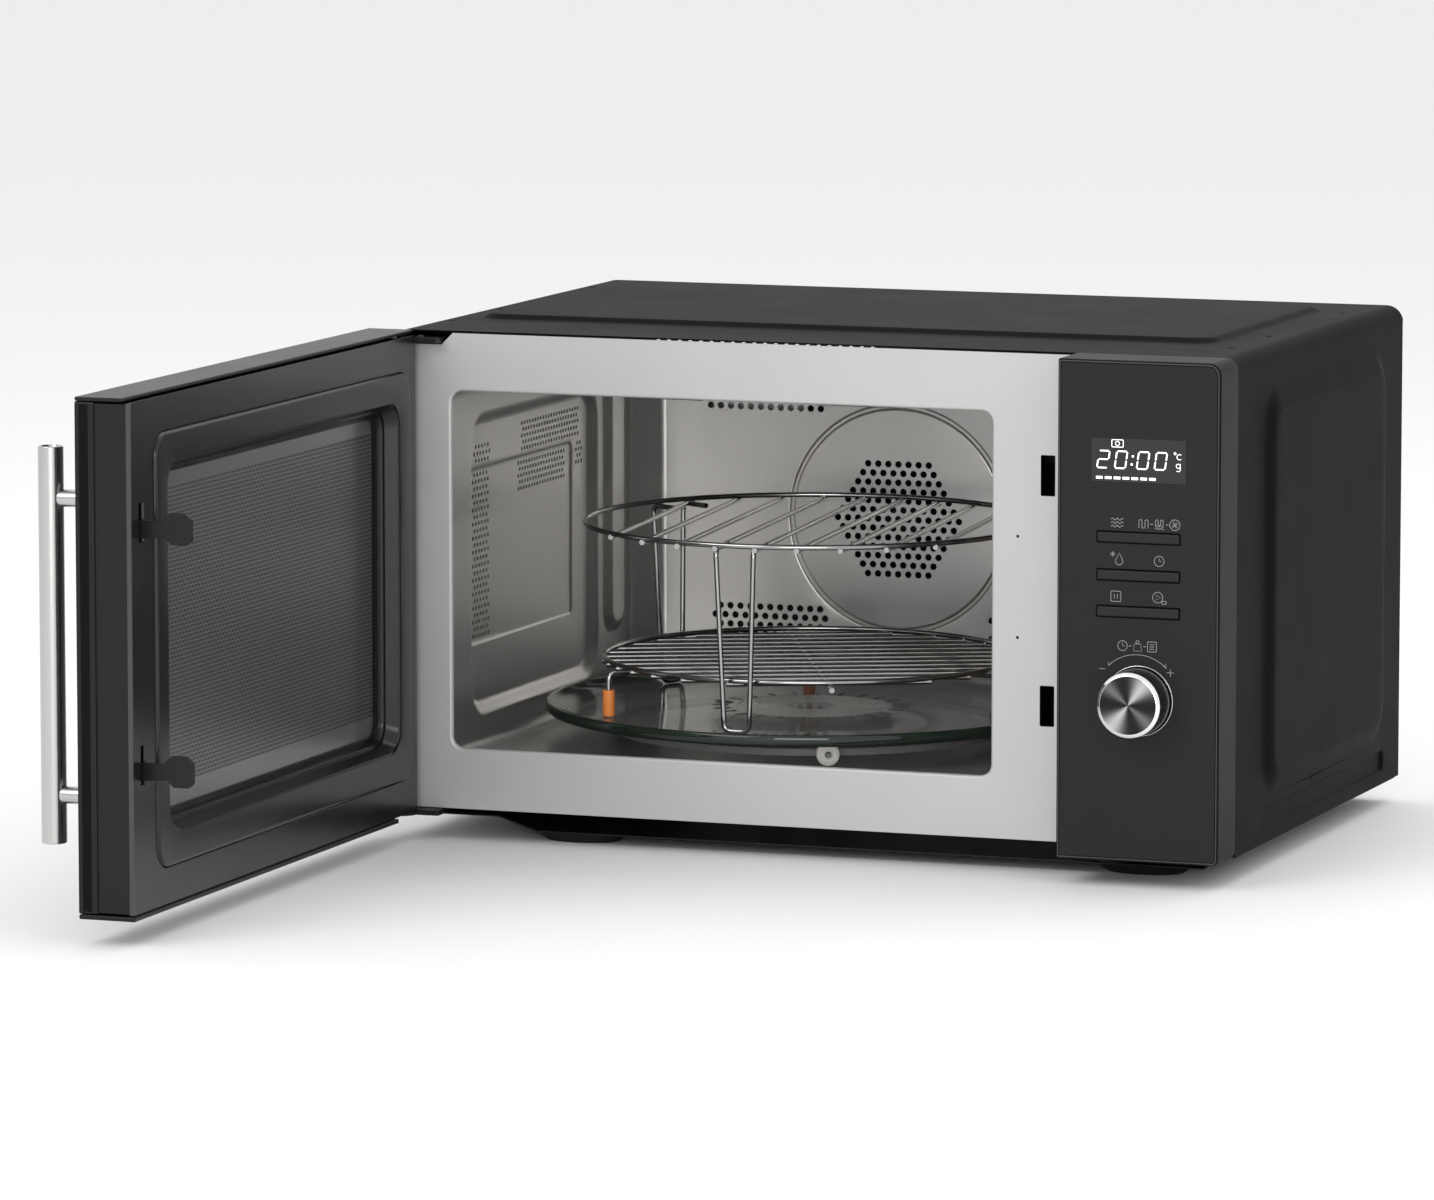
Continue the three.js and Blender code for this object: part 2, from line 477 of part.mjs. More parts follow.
part(door, 'door_glass', box(D.u0 + 2.8, D.u1 - 2.8, D.front + 0.2, -20.1, D.z0 + 2.8, D.z1 - 2.8), 'dark_glass');
part(door, 'door_top_cap', box(D.u0, D.u1, D.front, 3.5, D.z1 + GAP, CAB.h), 'black_plastic');
part(door, 'door_bottom_cap', box(30, D.u1, D.front, 9.2, -0.4, D.z0 - GAP), 'black_plastic');

// Inner panel: border, raised sealing band and window recess in one pressing.
const hookSlots = LATCH_Z.map((z) => box(LATCH_U - 3.4, LATCH_U + 3.4, -20, 20, z + 0.5, z + 22.4));
const wellRim = slabY(roundedRect(WELL.u0 - 1, WELL.u1 + 1, WELL.z0 - 1, WELL.z1 + 1, 9), -4, D.face);
part(door, 'door_inner_panel', cut(
  join(slabY(roundedRect(-1.2, D.u1 - 0.8, D.z0 + 0.1, D.z1, 1.2), D.back + GAP, 8, 3),
    slabY(roundedRect(BAND.u0, BAND.u1, BAND.z0, BAND.z1, 12), 7, D.face), wellRim),
  slabY(roundedRect(WELL.u0, WELL.u1, WELL.z0, WELL.z1, 8), -3, 20),
  slabY(roundedRect(WELL.u0 + 8, WELL.u1 - 8, WELL.z0 + 8, WELL.z1 - 8, 4), -20, 20),
  ...hookSlots, box(-20, 37, -20, 20, 273.6, 290), box(-20, 37, -20, 20, -5, 8),
), 'black_paint');
part(door, 'door_screen', box(WELL.u0 + 1, WELL.u1 - 1, -5.3, -4.3, WELL.z0 + 1, WELL.z1 - 1), 'black_paint');

// Bar handle on two posts near the free edge.
const HANDLE = { u: 389, v: D.front - 22, r: 7, z0: 37.7, z1: 255 };
const tubeBar = new THREE.CylinderGeometry(HANDLE.r, HANDLE.r, HANDLE.z1 - HANDLE.z0, 28).rotateX(Math.PI / 2)
  .translate(HANDLE.u, HANDLE.v, (HANDLE.z0 + HANDLE.z1) / 2);
part(door, 'handle_bar', tubeBar, 'chrome');
[['lower', 64.5], ['upper', 226.7]].forEach(([n, z]) => {
  const post = cyl('y', [HANDLE.u, z], 4.8, HANDLE.v, D.front - 0.2, 24);
  const saddle = cyl('z', [HANDLE.u, HANDLE.v], HANDLE.r + GAP, z - 10, z + 10, 28);
  part(door, `handle_post_${n}`, cut(post, saddle), 'chrome');
});

// Sprung latch: a strip with two hooks that slides up inside the door.
const latch = group('latch', door);
const hookShape = (z) => {
  const s = new THREE.Shape();
  s.moveTo(-3, z + 2).lineTo(18, z + 4).lineTo(22, z).lineTo(31, z).lineTo(34, z + 2.4);
  s.lineTo(34, z + 14).lineTo(30, z + 17.4).lineTo(21, z + 17.4).lineTo(16, z + 12.6).lineTo(-3, z + 12.6);
  return s;
};
// Each hook is drawn in v and z, then stood across the strip.
const hooks = LATCH_Z.map((z) => {
  const g = new THREE.ExtrudeGeometry(hookShape(z), { depth: 2.4, bevelEnabled: false });
  return g.rotateX(Math.PI / 2).rotateZ(Math.PI / 2).translate(LATCH_U + 1.2 - 2.4, 4, 0);
});
part(latch, 'latch_hooks', join(box(LATCH_U - 4, LATCH_U + 4, -0.5, 1.7, 64, 236), ...hooks), 'black_plastic');
part(door, 'latch_spring', wire([
  [LATCH_U - 2.2, -4.5, 60], [LATCH_U + 2.2, -4.5, 66], [LATCH_U - 2.2, -4.5, 72], [LATCH_U + 2.2, -4.5, 78],
  [LATCH_U - 2.2, -4.5, 84], [LATCH_U + 2.2, -4.5, 90], [LATCH_U - 2.2, -4.5, 96],
], 0.6, 6), 'zinc_steel');

// ---- cord gland --------------------------------------------------------------------
part(cabinet, 'cord_gland', join(cyl('y', [GLAND.x, GLAND.z], 9, 334, 341, 24),
  cyl('y', [GLAND.x, GLAND.z], 13, 339.3, 343, 24)), 'rubber');

// ---- place the object: middle of its footprint at the origin ------------------------
object.updateMatrixWorld(true);
const bounds = new THREE.Box3().setFromObject(object);
object.position.set(-(bounds.min.x + bounds.max.x) / 2, -(bounds.min.y + bounds.max.y) / 2, -bounds.min.z);
object.updateMatrixWorld(true);

export default object;
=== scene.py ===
"""A countertop combination oven with its door open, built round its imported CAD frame."""

import math

import bmesh
import bpy
from bpy.props import FloatProperty, FloatVectorProperty, IntProperty, PointerProperty
from bpy.types import Operator, Panel, PropertyGroup
from mathutils import Matrix, Vector


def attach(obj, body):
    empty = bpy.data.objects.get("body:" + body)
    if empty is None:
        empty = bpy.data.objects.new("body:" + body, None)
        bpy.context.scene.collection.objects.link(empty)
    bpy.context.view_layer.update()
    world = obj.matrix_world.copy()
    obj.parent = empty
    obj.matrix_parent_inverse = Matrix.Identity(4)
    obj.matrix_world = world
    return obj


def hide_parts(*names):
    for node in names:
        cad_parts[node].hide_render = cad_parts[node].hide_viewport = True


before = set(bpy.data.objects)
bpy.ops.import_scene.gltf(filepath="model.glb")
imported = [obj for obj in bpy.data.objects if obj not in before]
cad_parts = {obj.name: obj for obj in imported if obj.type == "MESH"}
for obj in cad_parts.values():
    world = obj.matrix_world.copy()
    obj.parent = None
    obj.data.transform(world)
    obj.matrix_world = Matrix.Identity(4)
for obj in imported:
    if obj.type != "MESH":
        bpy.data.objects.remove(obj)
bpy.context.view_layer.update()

bl_info = {
    "name": "Combination Microwave Oven", "version": (1, 0, 0), "blender": (4, 5, 0),
    "location": "View3D > Sidebar > Oven",
    "description": "Builds the sheet metal, mouldings, glass and wirework of a countertop oven",
    "category": "Add Mesh"
}

MM = 0.001
# Cabinet drawing, in millimetres: x from the cover's left side, y back from the
# front plate, z up from the cover's lower edge.
CABINET = Matrix.Translation((-0.2348, 0.02645, 0.0148)) @ Matrix.Scale(MM, 4)
# Door drawing, in millimetres: u from the hinge axis to the handle, v from the
# hinge axis towards the oven when shut, z up. The door is stored open, at rest.
DOOR = Matrix(((0, MM, 0, -0.2252), (-MM, 0, 0, 0.01645), (0, 0, MM, 0.0148), (0, 0, 0, 1)))
TURNTABLE = (201.75, 160.15)
FAN = (201.75, 145.0)
KNOB = (466.2, 92.0)
KEY_HEIGHTS = (184.2, 162.8, 142.1)
SLOT_FEET = (69.6, 201.6)
TAU = 2 * math.pi


# ---------------------------------------------------------------- outlines


def circle(cx, cy, radius, count=24, start=0.0):
    """A ring of points round a centre."""
    return [
        (
            cx + radius * math.cos(start + TAU * i / count),
            cy + radius * math.sin(start + TAU * i / count)
        )
        for i in range(count)
    ]


def rounded(x0, y0, x1, y1, radius, count=6):
    """A rectangle with round corners: one radius, or four from the lower left."""
    radii = [radius] * 4 if isinstance(radius, (int, float)) else list(radius)
    radii = [max(0.05, r) for r in radii]
    corners = [
        (x1 - radii[1], y0 + radii[1], -90, radii[1]),
        (x1 - radii[2], y1 - radii[2], 0, radii[2]), (x0 + radii[3], y1 - radii[3], 90, radii[3]),
        (x0 + radii[0], y0 + radii[0], 180, radii[0])
    ]
    points = []
    for cx, cy, turn, r in corners:
        for i in range(count + 1):
            a = math.radians(turn + 90 * i / count)
            points.append((cx + r * math.cos(a), cy + r * math.sin(a)))
    return points


def inset_rounded(x0, y0, x1, y1, radius):
    """A function that gives the same round rectangle drawn smaller by an inset."""
    return lambda k: rounded(x0 + k, y0 + k, x1 - k, y1 - k, max(0.6, radius - k))


def hexagon_field(cx, cy, pitch, rows, widest):
    """Hole centres in a hexagonal field whose middle row is the widest."""
    middle = rows // 2
    found = []
    for j in range(rows):
        count = widest - abs(j - middle)
        for i in range(count):
            found.append((cx + (i - (count - 1) / 2) * pitch, cy + (j - middle) * pitch * 0.866))
    return found


def staggered(x0, y0, columns, rows, pitch):
    """Hole centres in staggered rows."""
    return [
        (x0 + (i + 0.5 * (j % 2)) * pitch, y0 + j * pitch * 0.866) for j in range(rows)
        for i in range(columns - (j % 2))
    ]


def holes(centres, radius, count=6):
    """Holes for a sheet, one for each centre."""
    return [([(circle(x, y, radius, count, 0.3), None)], None) for x, y in centres]


# ---------------------------------------------------------------- modelling


def ring(bm, place, points, depth):
    """A closed ring of edges at a depth of a sheet."""
    verts = [bm.verts.new(place(a, b, depth)) for a, b in points]
    return [bm.edges.new((v, verts[i - 1])) for i, v in enumerate(verts)]


def fill_floor(bm, place, outer, features, depth):
    """Fills a ring, leaving room for each pressing or hole and making it."""
    edges = list(outer)
    for rings, inner in features:
        loops = [ring(bm, place, p, depth if d is None else d) for p, d in rings]
        edges += loops[0]
        for near, far in zip(loops, loops[1:]):
            bmesh.ops.bridge_loops(bm, edges=near + far)
        if inner is not None:
            last = rings[-1][1]
            fill_floor(bm, place, loops[-1], inner, depth if last is None else last)
    bmesh.ops.triangle_fill(bm, use_beauty=True, use_dissolve=False, edges=edges)


def pressed_sheet(bm, place, outline, features=(), depth=0.0):
    """A sheet cut to an outline, with pressings and holes."""
    fill_floor(bm, place, ring(bm, place, outline, depth), features, depth)


def smooth_step(t):
    """Eases from 0 to 1 with flat ends."""
    return t * t * (3 - 2 * t)


def pressing(shape, width, rise, inner=(), base=0.0, steps=5):
    """A drawn step from base to base + rise, over a slope of the given width."""
    rings = [
        (shape(width * i / steps), base + rise * smooth_step(i / steps)) for i in range(steps + 1)
    ]
    return rings, inner


def turned(profile, centre=(0, 0, 0), axis="Z", steps=72):
    """A turned piece: a profile of (radius, height) spun round an axis."""
    bm = bmesh.new()
    verts = [bm.verts.new((r, 0, h)) for r, h in profile]
    edges = [bm.edges.new(pair) for pair in zip(verts, verts[1:])]
    bmesh.ops.spin(
        bm, geom=verts + edges, cent=(0, 0, 0), axis=(0, 0, 1), angle=TAU, steps=steps,
        use_merge=True
    )
    bmesh.ops.remove_doubles(bm, verts=bm.verts, dist=1e-4)
    if axis == "Z":
        lay = Matrix.Identity(4)
    elif axis == "Y":
        lay = Matrix.Rotation(math.radians(90), 4, "X")
    elif axis == "X":
        lay = Matrix.Rotation(math.radians(90), 4, "Y")
    else:
        lay = axis
    bm.transform(Matrix.Translation(centre) @ lay)
    return bm


def closed_ring(profile):
    """A profile that comes back to its first point."""
    return list(profile) + [profile[0]]


def bar(bm, outline, place, near, far, soften=0.0, segments=2):
    """A straight bar: an outline filled at one depth and drawn out to another."""
    start = ring(bm, place, outline, near)
    faces = bmesh.ops.triangle_fill(bm, use_beauty=True, use_dissolve=True, edges=start)["geom"]
    faces = [f for f in faces if isinstance(f, bmesh.types.BMFace)]
    made = bmesh.ops.extrude_face_region(bm, geom=faces)["geom"]
    drawn = [v for v in made if isinstance(v, bmesh.types.BMVert)]
    shift = Vector(place(0, 0, far)) - Vector(place(0, 0, near))
    bmesh.ops.translate(bm, verts=drawn, vec=shift)
    if soften:
        caps = [f for f in made if isinstance(f, bmesh.types.BMFace)] + faces
        rim = {e for f in caps if f.is_valid for e in f.edges}
        rim = [e for e in rim if e.is_valid and len(e.link_faces) == 2]
        rim = [e for e in rim if e.calc_face_angle(0) > 0.6]
        bmesh.ops.bevel(
            bm, geom=rim, offset=soften, offset_type="OFFSET", affect="EDGES", segments=segments,
            profile=0.5, material=-1, clamp_overlap=True
        )
    return bm


def curve_mesh(lines, radius, sides=2, caps=True):
    """Round wire along each line of points; lines are (points, closed)."""
    data = bpy.data.curves.new("wire", "CURVE")
    data.dimensions = "3D"
    data.bevel_depth, data.bevel_resolution, data.use_fill_caps = radius, sides, caps
    for points, closed in lines:
        spline = data.splines.new("POLY")
        spline.points.add(len(points) - 1)
        for p, co in zip(spline.points, points):
            p.co = (*co, 1)
        spline.use_cyclic_u = closed
    holder = bpy.data.objects.new("wire", data)
    bpy.context.scene.collection.objects.link(holder)
    made = bpy.data.meshes.new_from_object(
        holder.evaluated_get(bpy.context.evaluated_depsgraph_get())
    )
    bm = bmesh.new()
    bm.from_mesh(made)
    bpy.data.objects.remove(holder)
    bpy.data.meshes.remove(made)
    return bm


def bent(points, radius, count=5):
    """A line of points whose inner corners are rounded to a bend radius."""
    points = [Vector(p) for p in points]
    path = [points[0]]
    for before, corner, after in zip(points, points[1:], points[2:]):
        a, b = (before - corner).normalized(), (after - corner).normalized()
        half = a.angle(b) / 2
        reach = min(
            radius / math.tan(half), (before - corner).length * 0.45,
            (after - corner).length * 0.45
        )
        start, end = corner + a * reach, corner + b * reach
        for i in range(count + 1):
            t = i / count
            path.append(start * (1 - t) ** 2 + corner * 2 * t * (1 - t) + end * t * t)
    return path + [points[-1]]


def join(target, source):
    """Adds one bmesh to another and frees it."""
    held = bpy.data.meshes.new("join")
    source.to_mesh(held)
    target.from_mesh(held)
    source.free()
    bpy.data.meshes.remove(held)
    return target


def thickened(mesh, wall, wall_side):
    """The mesh of a sheet with its wall thickness, so its cut edges stay crisp."""
    blank = bpy.data.objects.new(mesh.name, mesh)
    bpy.context.scene.collection.objects.link(blank)
    shell = blank.modifiers.new("Wall", "SOLIDIFY")
    shell.thickness, shell.offset = wall * MM, wall_side
    settled = bpy.context.evaluated_depsgraph_get()
    solid = bpy.data.meshes.new_from_object(blank.evaluated_get(settled))
    solid.name = mesh.name
    bpy.data.objects.remove(blank)
    bpy.data.meshes.remove(mesh)
    return solid


def make_piece(
    bm, name, look, body, stands_for=(), space=CABINET, smooth=40, recalc=True,
    wall=0.0, wall_side=0.0, round_off=0.0, weighted=True
):
    """Turns a bmesh in drawing millimetres into a finished piece on its body."""
    if recalc:
        bmesh.ops.remove_doubles(bm, verts=bm.verts, dist=0.002)
        bmesh.ops.recalc_face_normals(bm, faces=bm.faces)
    bm.transform(space)
    mesh = bpy.data.meshes.new(name)
    bm.to_mesh(mesh)
    bm.free()
    mesh.materials.append(finish(look))
    if wall:
        mesh = thickened(mesh, wall, wall_side)
    mesh.shade_smooth()
    mesh.set_sharp_from_angle(angle=math.radians(smooth))
    piece = bpy.data.objects.new(name, mesh)
    bpy.context.scene.collection.objects.link(piece)
    if round_off:
        soft = piece.modifiers.new("Soft edges", "BEVEL")
        soft.width, soft.segments, soft.limit_method = round_off * MM, 2, "ANGLE"
        soft.angle_limit = math.radians(35)
    if weighted:
        level = piece.modifiers.new("Even shading", "WEIGHTED_NORMAL")
        level.keep_sharp = True
    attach(piece, body)
    if stands_for:
        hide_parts(*stands_for)
    return piece


def softened(node, name, look, body, width=0.5):
    """A copy of a CAD node with its seams merged and its edges eased."""
    bm = bmesh.new()
    bm.from_mesh(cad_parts[node].data)
    bmesh.ops.remove_doubles(bm, verts=bm.verts, dist=2e-6)
    bmesh.ops.dissolve_limit(bm, angle_limit=math.radians(1), verts=bm.verts, edges=bm.edges)
    return make_piece(
        bm, name, look, body, (node,), space=Matrix.Identity(4), recalc=False,
        round_off=width
    )


def screws(places, axis, name, look, body, space=CABINET, radius=3.2):
    """Pan-head screws with a socket, facing along an axis."""
    bm = bmesh.new()
    lay = Vector((0, 0, 1)).rotation_difference(Vector(axis)).to_matrix().to_4x4()
    for place in places:
        head = turned(
            [
                (0, 0.35), (radius * 0.38, 0.35), (radius * 0.42, 1.35), (radius * 0.7, 1.25),
                (radius, 0.5), (radius, -0.6), (0, -0.6)
            ],
            steps=12
        )
        head.transform(Matrix.Translation(place) @ lay)
        join(bm, head)
    return make_piece(bm, name, look, body, space=space)


# ---------------------------------------------------------------- shading


class Value:
    """One output of a node; arithmetic on it adds Math nodes."""

    def __init__(self, finish, socket):
        self.finish, self.socket = finish, socket

    def math(self, operation, *others):
        values = dict(enumerate((self, *others)))
        return self.finish.node("ShaderNodeMath", {"operation": operation}, values)

    def __add__(self, other):
        return self.math("ADD", other)

    __radd__ = __add__

    def __mul__(self, other):
        return self.math("MULTIPLY", other)

    __rmul__ = __mul__

    def __sub__(self, other):
        return self.math("SUBTRACT", other)

    def __rsub__(self, other):
        return self.finish.node("ShaderNodeMath", {"operation": "SUBTRACT"}, {0: other, 1: self})

    def __gt__(self, other):
        return self.math("GREATER_THAN", other)


class Finish:
    """One material, with its Principled shader and a single way to add nodes."""

    def __init__(self, name):
        self.material = bpy.data.materials.new(name)
        self.material.use_nodes = True
        self.tree = self.material.node_tree
        self.shader = next(n for n in self.tree.nodes if n.type == "BSDF_PRINCIPLED")
        self._place = None

    def node(self, kind, settings=None, values=None, out=0):
        made = self.tree.nodes.new(kind)
        for key, value in (settings or {}).items():
            setattr(made, key, value)
        for key, value in (values or {}).items():
            self.feed(made.inputs[key], value)
        return Value(self, made.outputs[out])

    def feed(self, socket, value):
        if isinstance(value, Value):
            self.tree.links.new(value.socket, socket)
        elif socket.type == "RGBA" and len(value) == 3:
            socket.default_value = (*value, 1)
        else:
            socket.default_value = value

    def shade(self, **values):
        for key, value in values.items():
            self.feed(self.shader.inputs[key.replace("_", " ")], value)
        return self

    @property
    def place(self):
        if self._place is None:
            self._place = self.node("ShaderNodeTexCoord", out="Object")
        return self._place

    def noise(self, scale, detail=2.0, roughness=0.5, where=None):
        return self.node(
            "ShaderNodeTexNoise", None,
            {
                "Vector": where or self.place, "Scale": scale, "Detail": detail,
                "Roughness": roughness
            }
        )

    def mix(self, factor, one, two):
        return self.node(
            "ShaderNodeMix", {"data_type": "RGBA"}, {0: factor, 6: one, 7: two}, out=2
        )

    def stretched(self, x, y, z):
        return self.node("ShaderNodeMapping", None, {"Vector": self.place, "Scale": (x, y, z)})

    def bump(self, height, distance, strength=1.0):
        return self.node(
            "ShaderNodeBump", None,
            {"Height": height, "Distance": distance * MM, "Strength": strength}
        )


def tone(colour, factor):
    """A colour made lighter or darker."""
    return tuple(min(1.0, c * factor) for c in colour)


def surface(
    name, colour, rough, metal=0.0, grain=900.0, depth=0.03, mottle=0.12, blotch=18.0, coat=0.0,
    grain_way=None, sheen=0.5
):
    """A painted, moulded or metal finish with fine grain, slow mottling and uneven gloss."""
    f = Finish(name)
    cloud = f.noise(blotch, 3.0, 0.6)
    fine = f.noise(grain, 2.0, 0.55, grain_way and f.stretched(*grain_way))
    f.shade(
        Base_Color=f.mix(cloud, tone(colour, 1 - mottle), tone(colour, 1 + mottle)),
        Roughness=rough + (cloud - 0.5) * 0.10 + (fine - 0.5) * 0.08, Metallic=metal,
        Normal=f.bump(fine, depth), Coat_Weight=coat, Coat_Roughness=0.12,
        Specular_IOR_Level=sheen
    )
    return f


def galvanised(name, colour):
    """Zinc-coated sheet with its spangle."""
    f = Finish(name)
    flake = f.node("ShaderNodeTexVoronoi", None, {"Vector": f.place, "Scale": 160.0}, out="Color")
    grey = f.node("ShaderNodeSeparateColor", None, {0: flake})
    fine = f.noise(1400.0)
    f.shade(
        Base_Color=f.mix(grey, tone(colour, 0.82), tone(colour, 1.15)), Metallic=0.9,
        Roughness=0.32 + grey * 0.16, Normal=f.bump(fine, 0.02)
    )
    return f


def dotted_screen(name, colour):
    """The door screen: rows of dots under a clear film, plain at top and foot."""
    f = Finish(name)
    parts = f.node("ShaderNodeSeparateXYZ", None, {0: f.place}, out="Y")
    up = Value(f, parts.socket.node.outputs["Z"])
    flat = f.node("ShaderNodeCombineXYZ", None, {0: parts, 1: up})
    dots = f.node(
        "ShaderNodeTexBrick", None,
        {
            "Vector": flat, "Scale": 1.0, "Brick Width": 0.0044, "Row Height": 0.0024,
            "Mortar Size": 0.0005, "Mortar Smooth": 0.1
        },
        out="Fac"
    )
    band_foot, band_top = 0.0775, 0.2425
    inside = (up > band_foot) * (band_top - up > 0.0)
    plain = 1.0 - inside
    mask = dots.math("MAXIMUM", plain)
    cloud = f.noise(30.0)
    f.shade(
        Base_Color=f.mix(mask, tone(colour, 0.45), tone(colour, 1.3)),
        Roughness=0.30 + cloud * 0.03 - plain * 0.06, Metallic=0.7, Normal=f.bump(mask, 0.02, 0.4)
    )
    return f


def spun_metal_painted_highlights(name, dark, bright):
    """Turned metal with cone-shaped highlights from its centre painted into its colour."""
    f = Finish(name)
    centre = CABINET @ Vector((KNOB[0], 0, KNOB[1]))
    across = f.node("ShaderNodeSeparateXYZ", None, {0: f.place})
    up = Value(f, across.socket.node.outputs["Z"])
    # Painted highlight: bright streaks at set angles round the knob's centre, mixed into the base
    # colour.
    turn = (up - centre.z).math("ARCTAN2", across - centre.x)
    broad_highlight = (turn - math.radians(52)).math("COSINE").math("ABSOLUTE")
    narrow_highlight = (turn - math.radians(140)).math("COSINE").math("ABSOLUTE")
    painted_highlight = broad_highlight.math("POWER", 14.0) + narrow_highlight.math("POWER", 30.0) * 0.28
    fine = f.noise(1800.0)
    f.shade(
        Base_Color=f.mix(painted_highlight.math("MINIMUM", 1.0), dark, bright), Roughness=0.26 + fine * 0.08,
        Metallic=1.0
    )
    return f


def tray_glass(name):
    """Pressed glass: pale and clear across the plate, dark green along its thick rim."""
    f = Finish(name)
    middle = CABINET @ Vector((*TURNTABLE, 0))
    flat = f.node(
        "ShaderNodeMapping", None,
        {"Vector": f.place, "Scale": (1.0, 1.0, 0.0), "Location": (-middle.x, -middle.y, 0.0)}
    )
    radius = f.node("ShaderNodeVectorMath", {"operation": "LENGTH"}, {0: flat}, out="Value")
    rim = f.node(
        "ShaderNodeMapRange", {"interpolation_type": "SMOOTHSTEP"},
        {0: radius, 1: 0.1340, 2: 0.1440, 3: 0.0, 4: 1.0}
    )
    frost_inside, frost_outside = 0.015, 0.048
    frost = (radius > frost_inside) * (frost_outside - radius > 0.0)
    ripple = f.noise(60.0, 2.0)
    body = f.mix(frost, (0.15, 0.155, 0.15), (0.62, 0.63, 0.60))
    f.shade(
        Base_Color=f.mix(rim, body, (0.010, 0.018, 0.012)), Roughness=0.04 + ripple * 0.03,
        Alpha=0.50 + frost * 0.10 + rim * 0.46, IOR=1.52, Normal=f.bump(ripple, 0.05, 0.3)
    )
    return f


def glowing(name, colour, strength):
    """Lit display segments, a little brighter in the middle of each stroke."""
    f = Finish(name)
    flicker = f.noise(260.0)
    f.shade(
        Base_Color=tone(colour, 0.3), Emission_Color=f.mix(flicker, tone(colour, 0.9), colour),
        Emission_Strength=strength, Roughness=0.5
    )
    return f


def wound_copper(name):
    """Enamelled wire in close turns."""
    f = Finish(name)
    turns = f.node(
        "ShaderNodeTexWave", {"bands_direction": "Z"},
        {"Vector": f.place, "Scale": 330.0, "Distortion": 0.4}
    )
    f.shade(
        Base_Color=f.mix(turns, (0.30, 0.10, 0.035), (0.75, 0.32, 0.13)), Metallic=0.9,
        Roughness=0.28, Normal=f.bump(turns, 0.3)
    )
    return f


def circuit_board(name):
    """Green solder mask over copper tracks."""
    f = Finish(name)
    tracks = f.node(
        "ShaderNodeTexBrick", None,
        {
            "Vector": f.place, "Scale": 160.0, "Color1": (0.01, 0.09, 0.03, 1),
            "Color2": (0.015, 0.12, 0.04, 1), "Mortar": (0.05, 0.22, 0.07, 1), "Mortar Size": 0.05
        }
    )
    f.shade(Base_Color=tracks, Roughness=0.35, Normal=f.bump(f.noise(900.0), 0.05))
    return f


def mica_sheet(name):
    """Pressed mica: pale flakes in a warm binder."""
    f = Finish(name)
    flakes = f.node(
        "ShaderNodeTexVoronoi", None, {"Vector": f.place, "Scale": 320.0}, out="Color"
    )
    grey = f.node("ShaderNodeSeparateColor", None, {0: flakes})
    f.shade(
        Base_Color=f.mix(grey, (0.42, 0.36, 0.27), (0.66, 0.60, 0.50)),
        Roughness=0.4 + grey * 0.25, Normal=f.bump(grey, 0.08)
    )
    return f


